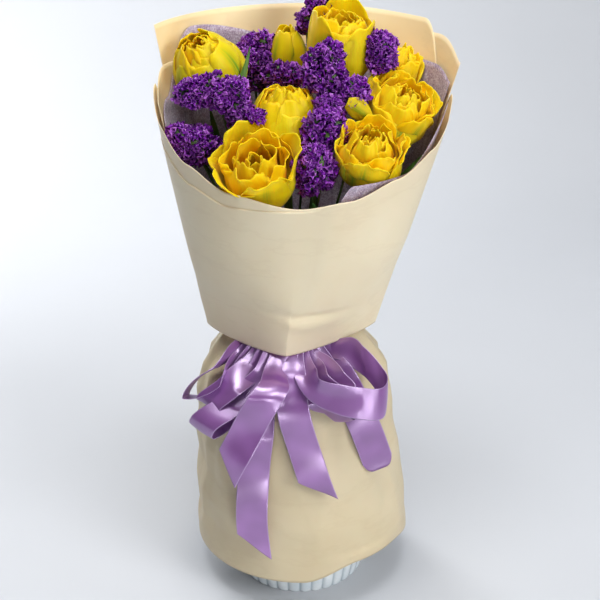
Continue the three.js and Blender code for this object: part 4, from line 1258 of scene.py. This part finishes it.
def bract(shape, rng, at, towards, size):
    """A narrow pointed green scale."""
    axis = unit(towards)
    side = unit(np.cross(axis, rng.normal(0, 1, 3)))
    lift = np.cross(axis, side)
    t = np.linspace(0, 1, 6)[:, None]
    half = size * 0.28 * np.sin(np.pi * (0.12 + 0.86 * t)) ** 0.8
    line = at + axis * size * 1.7 * t + lift * size * 0.3 * t**2
    raised = lift * half * 0.4
    points = np.concatenate([line - side * half + raised, line, line + side * half + raised])
    shape.add(points, grid_faces(5, 2), 1, tip=0, tint=0)


def sprig(index, clusters):
    rng = np.random.default_rng(90 + index)
    node = f"statice_{index}"
    top = np.array(clusters[0][0], float)
    route = stem_route(node, SPRIG_RADIUS)
    shape = Shape()
    axis = unit(top - at_height(route, WAIST_Z))
    fork = at_height(route, last_level(top[2] - NECK * axis[2] - NECK_GAP) - 2 * LEVEL)
    stems = [[*route[route[:, 2] < top[2] - NECK], top]] + [
        [fork, mix(fork, np.array(middle, float), 0.5) + [0, 0, -4], middle] for middle, _ in clusters[1:]
    ]
    for stem in stems:
        tube(shape, stem, SPRIG_RADIUS - 0.3, 8, 1, 0.8, tip=0, tint=0)
        for share in np.linspace(0.72, 0.97, 8):
            at = curve(stem, share)
            bract(shape, rng, at, unit(rng.normal(0, 1, 3) + [0, 0, 1.6]), rng.uniform(1.6, 2.6))
    for middle, sizes in clusters:
        clump(shape, rng, middle, sizes)
        for _ in range(10):
            out = unit(rng.normal(0, 1, 3) * [1, 1, 0.5] - [0, 0.3, 0.9])
            seat = np.array(middle) + out * (np.array(sizes) - 2)
            bract(shape, rng, seat, out + [0, -0.2, 0.5], rng.uniform(1.6, 2.8))
    piece(f"sprig_{index}", shape, [VIOLET, CALYX], [node])


# ------------------------------------------------------------------ the bunch

vase()
skirt()
front_collar()
for name, spec in SHEETS.items():
    wrap_sheet(name, *spec, [CREAM, WARM_PAINTED_GLOW], "paper", PAPER)
lining = wrap_sheet("lining", (4.6, 4.6), 0, LINING_RIM, [TISSUE], "lining", TISSUE_CLOTH)
band()
knot()
for number, (name, stations) in enumerate(BOW.items()):
    ribbon(name, stations, LEANS.get(name, 0), number * 1.3)
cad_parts["stem_tie"].data.materials.clear()
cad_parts["stem_tie"].data.materials.append(TWINE)

routes = []
for number, tulip in enumerate(TULIPS, 1):
    routes.append(stem_route(f"tulip_{number}_stem", STEM_RADIUS))
    stem = Shape()
    tube(stem, routes[-1], STEM_RADIUS - 0.2, 14)
    piece(f"stem_{number}", stem, [STEM], [f"tulip_{number}_stem"])
    bloom(number, tulip)
for number, spec in enumerate(LEAVES, 1):
    leaf(number, spec, routes)
loose_petal()
for number, clusters in enumerate(STATICE, 1):
    sprig(number, clusters)

# ------------------------------------------------------------------ stage, light and camera


def stage_surface(name, colour, roughness):
    s = Surface(name)
    haze = s.noise(3.0, 3.0)
    darker = [c * 0.96 for c in colour[:3]] + [1]
    return s.finish(Base_Color=s.blend(s.rise(haze, 0.3, 0.7), colour, darker), Roughness=roughness)


def sweep():
    """A pale floor that curves up into a backdrop behind the bunch."""
    across, up = 2, 60
    u, v = grid_uv(across, up)
    start, bend, radius, wall, half_width = -1500.0, 700.0, 500.0, 1800, 3500
    arc = radius * np.pi / 2
    run = v * ((bend - start) + arc + wall)
    along_floor = np.minimum(run, bend - start)
    angle = np.clip((run - (bend - start)) / radius, 0, np.pi / 2)
    rise = np.maximum(run - (bend - start) - arc, 0)
    y = start + along_floor + radius * np.sin(angle)
    z = radius * (1 - np.cos(angle)) + rise
    points = xyz(mix(-half_width, half_width, u), y, z)
    mesh = bpy.data.meshes.new("floor")
    mesh.from_pydata((points * MM).tolist(), [], grid_faces(across, up))
    mesh.polygons.foreach_set("use_smooth", [True] * len(mesh.polygons))
    mesh.materials.append(stage_surface("floor_pale", rgb(210, 213, 218), 0.6))
    floor = placed("floor", mesh)


def area_light(name, location, target, size, power):
    light = bpy.data.lights.new(name, "AREA")
    light.shape = "RECTANGLE"
    light.size, light.size_y = size
    light.energy = power
    obj = placed(name, light)
    obj.location = location
    obj.rotation_euler = (Vector(target) - Vector(location)).to_track_quat("-Z", "Y").to_euler()


sweep()
area_light("key", (1.05, -1.05, 1.05), (0, 0, 0.25), (0.6, 0.6), 13)
area_light("front", (0.7, -1.75, 0.2), (0, -0.07, 0.22), (0.7, 0.25), 7.5)
area_light("side", (-0.75, 1.1, 0.7), (0, 0, 0.25), (0.5, 1.3), 14)
area_light("top", (-0.1, -0.35, 1.65), (0, 0, 0.4), (0.7, 0.5), 11)
area_light("backdrop", (-0.5, 0.5, 0.9), (-0.9, 1.4, 0.6), (1.0, 0.8), 3)
# a weak, wide light from above that keeps the far floor pale
above = bpy.data.lights.new("above", "SUN")
above.energy = 0.6
above.angle = math.radians(60)
placed("above", above).rotation_euler = (math.radians(20), math.radians(10), 0)

world = bpy.data.worlds.new("studio")
world.use_nodes = True
nodes, links = world.node_tree.nodes, world.node_tree.links
glow = nodes["Background"]
glow.inputs["Color"].default_value = (0.86, 0.9, 1.0, 1)
glow.inputs["Strength"].default_value = 0.1
# past the sweep's edges the camera sees the same pale grey as the sweep
seen = nodes.new("ShaderNodeBackground")
seen.inputs["Color"].default_value = (0.42, 0.43, 0.46, 1)
ray = nodes.new("ShaderNodeLightPath")
either = nodes.new("ShaderNodeMixShader")
links.new(ray.outputs["Is Camera Ray"], either.inputs[0])
links.new(glow.outputs[0], either.inputs[1])
links.new(seen.outputs[0], either.inputs[2])
links.new(either.outputs[0], nodes["World Output"].inputs[0])
bpy.context.scene.world = world
bpy.context.scene.view_settings.view_transform = "Standard"

camera = bpy.data.cameras.new("camera")
camera.lens = 72
camera.sensor_width = 36
eye = placed("camera", camera)
eye.location = (0, -0.844, 0.69)
eye.rotation_euler = (math.radians(62.5), 0, 0)
bpy.context.scene.camera = eye
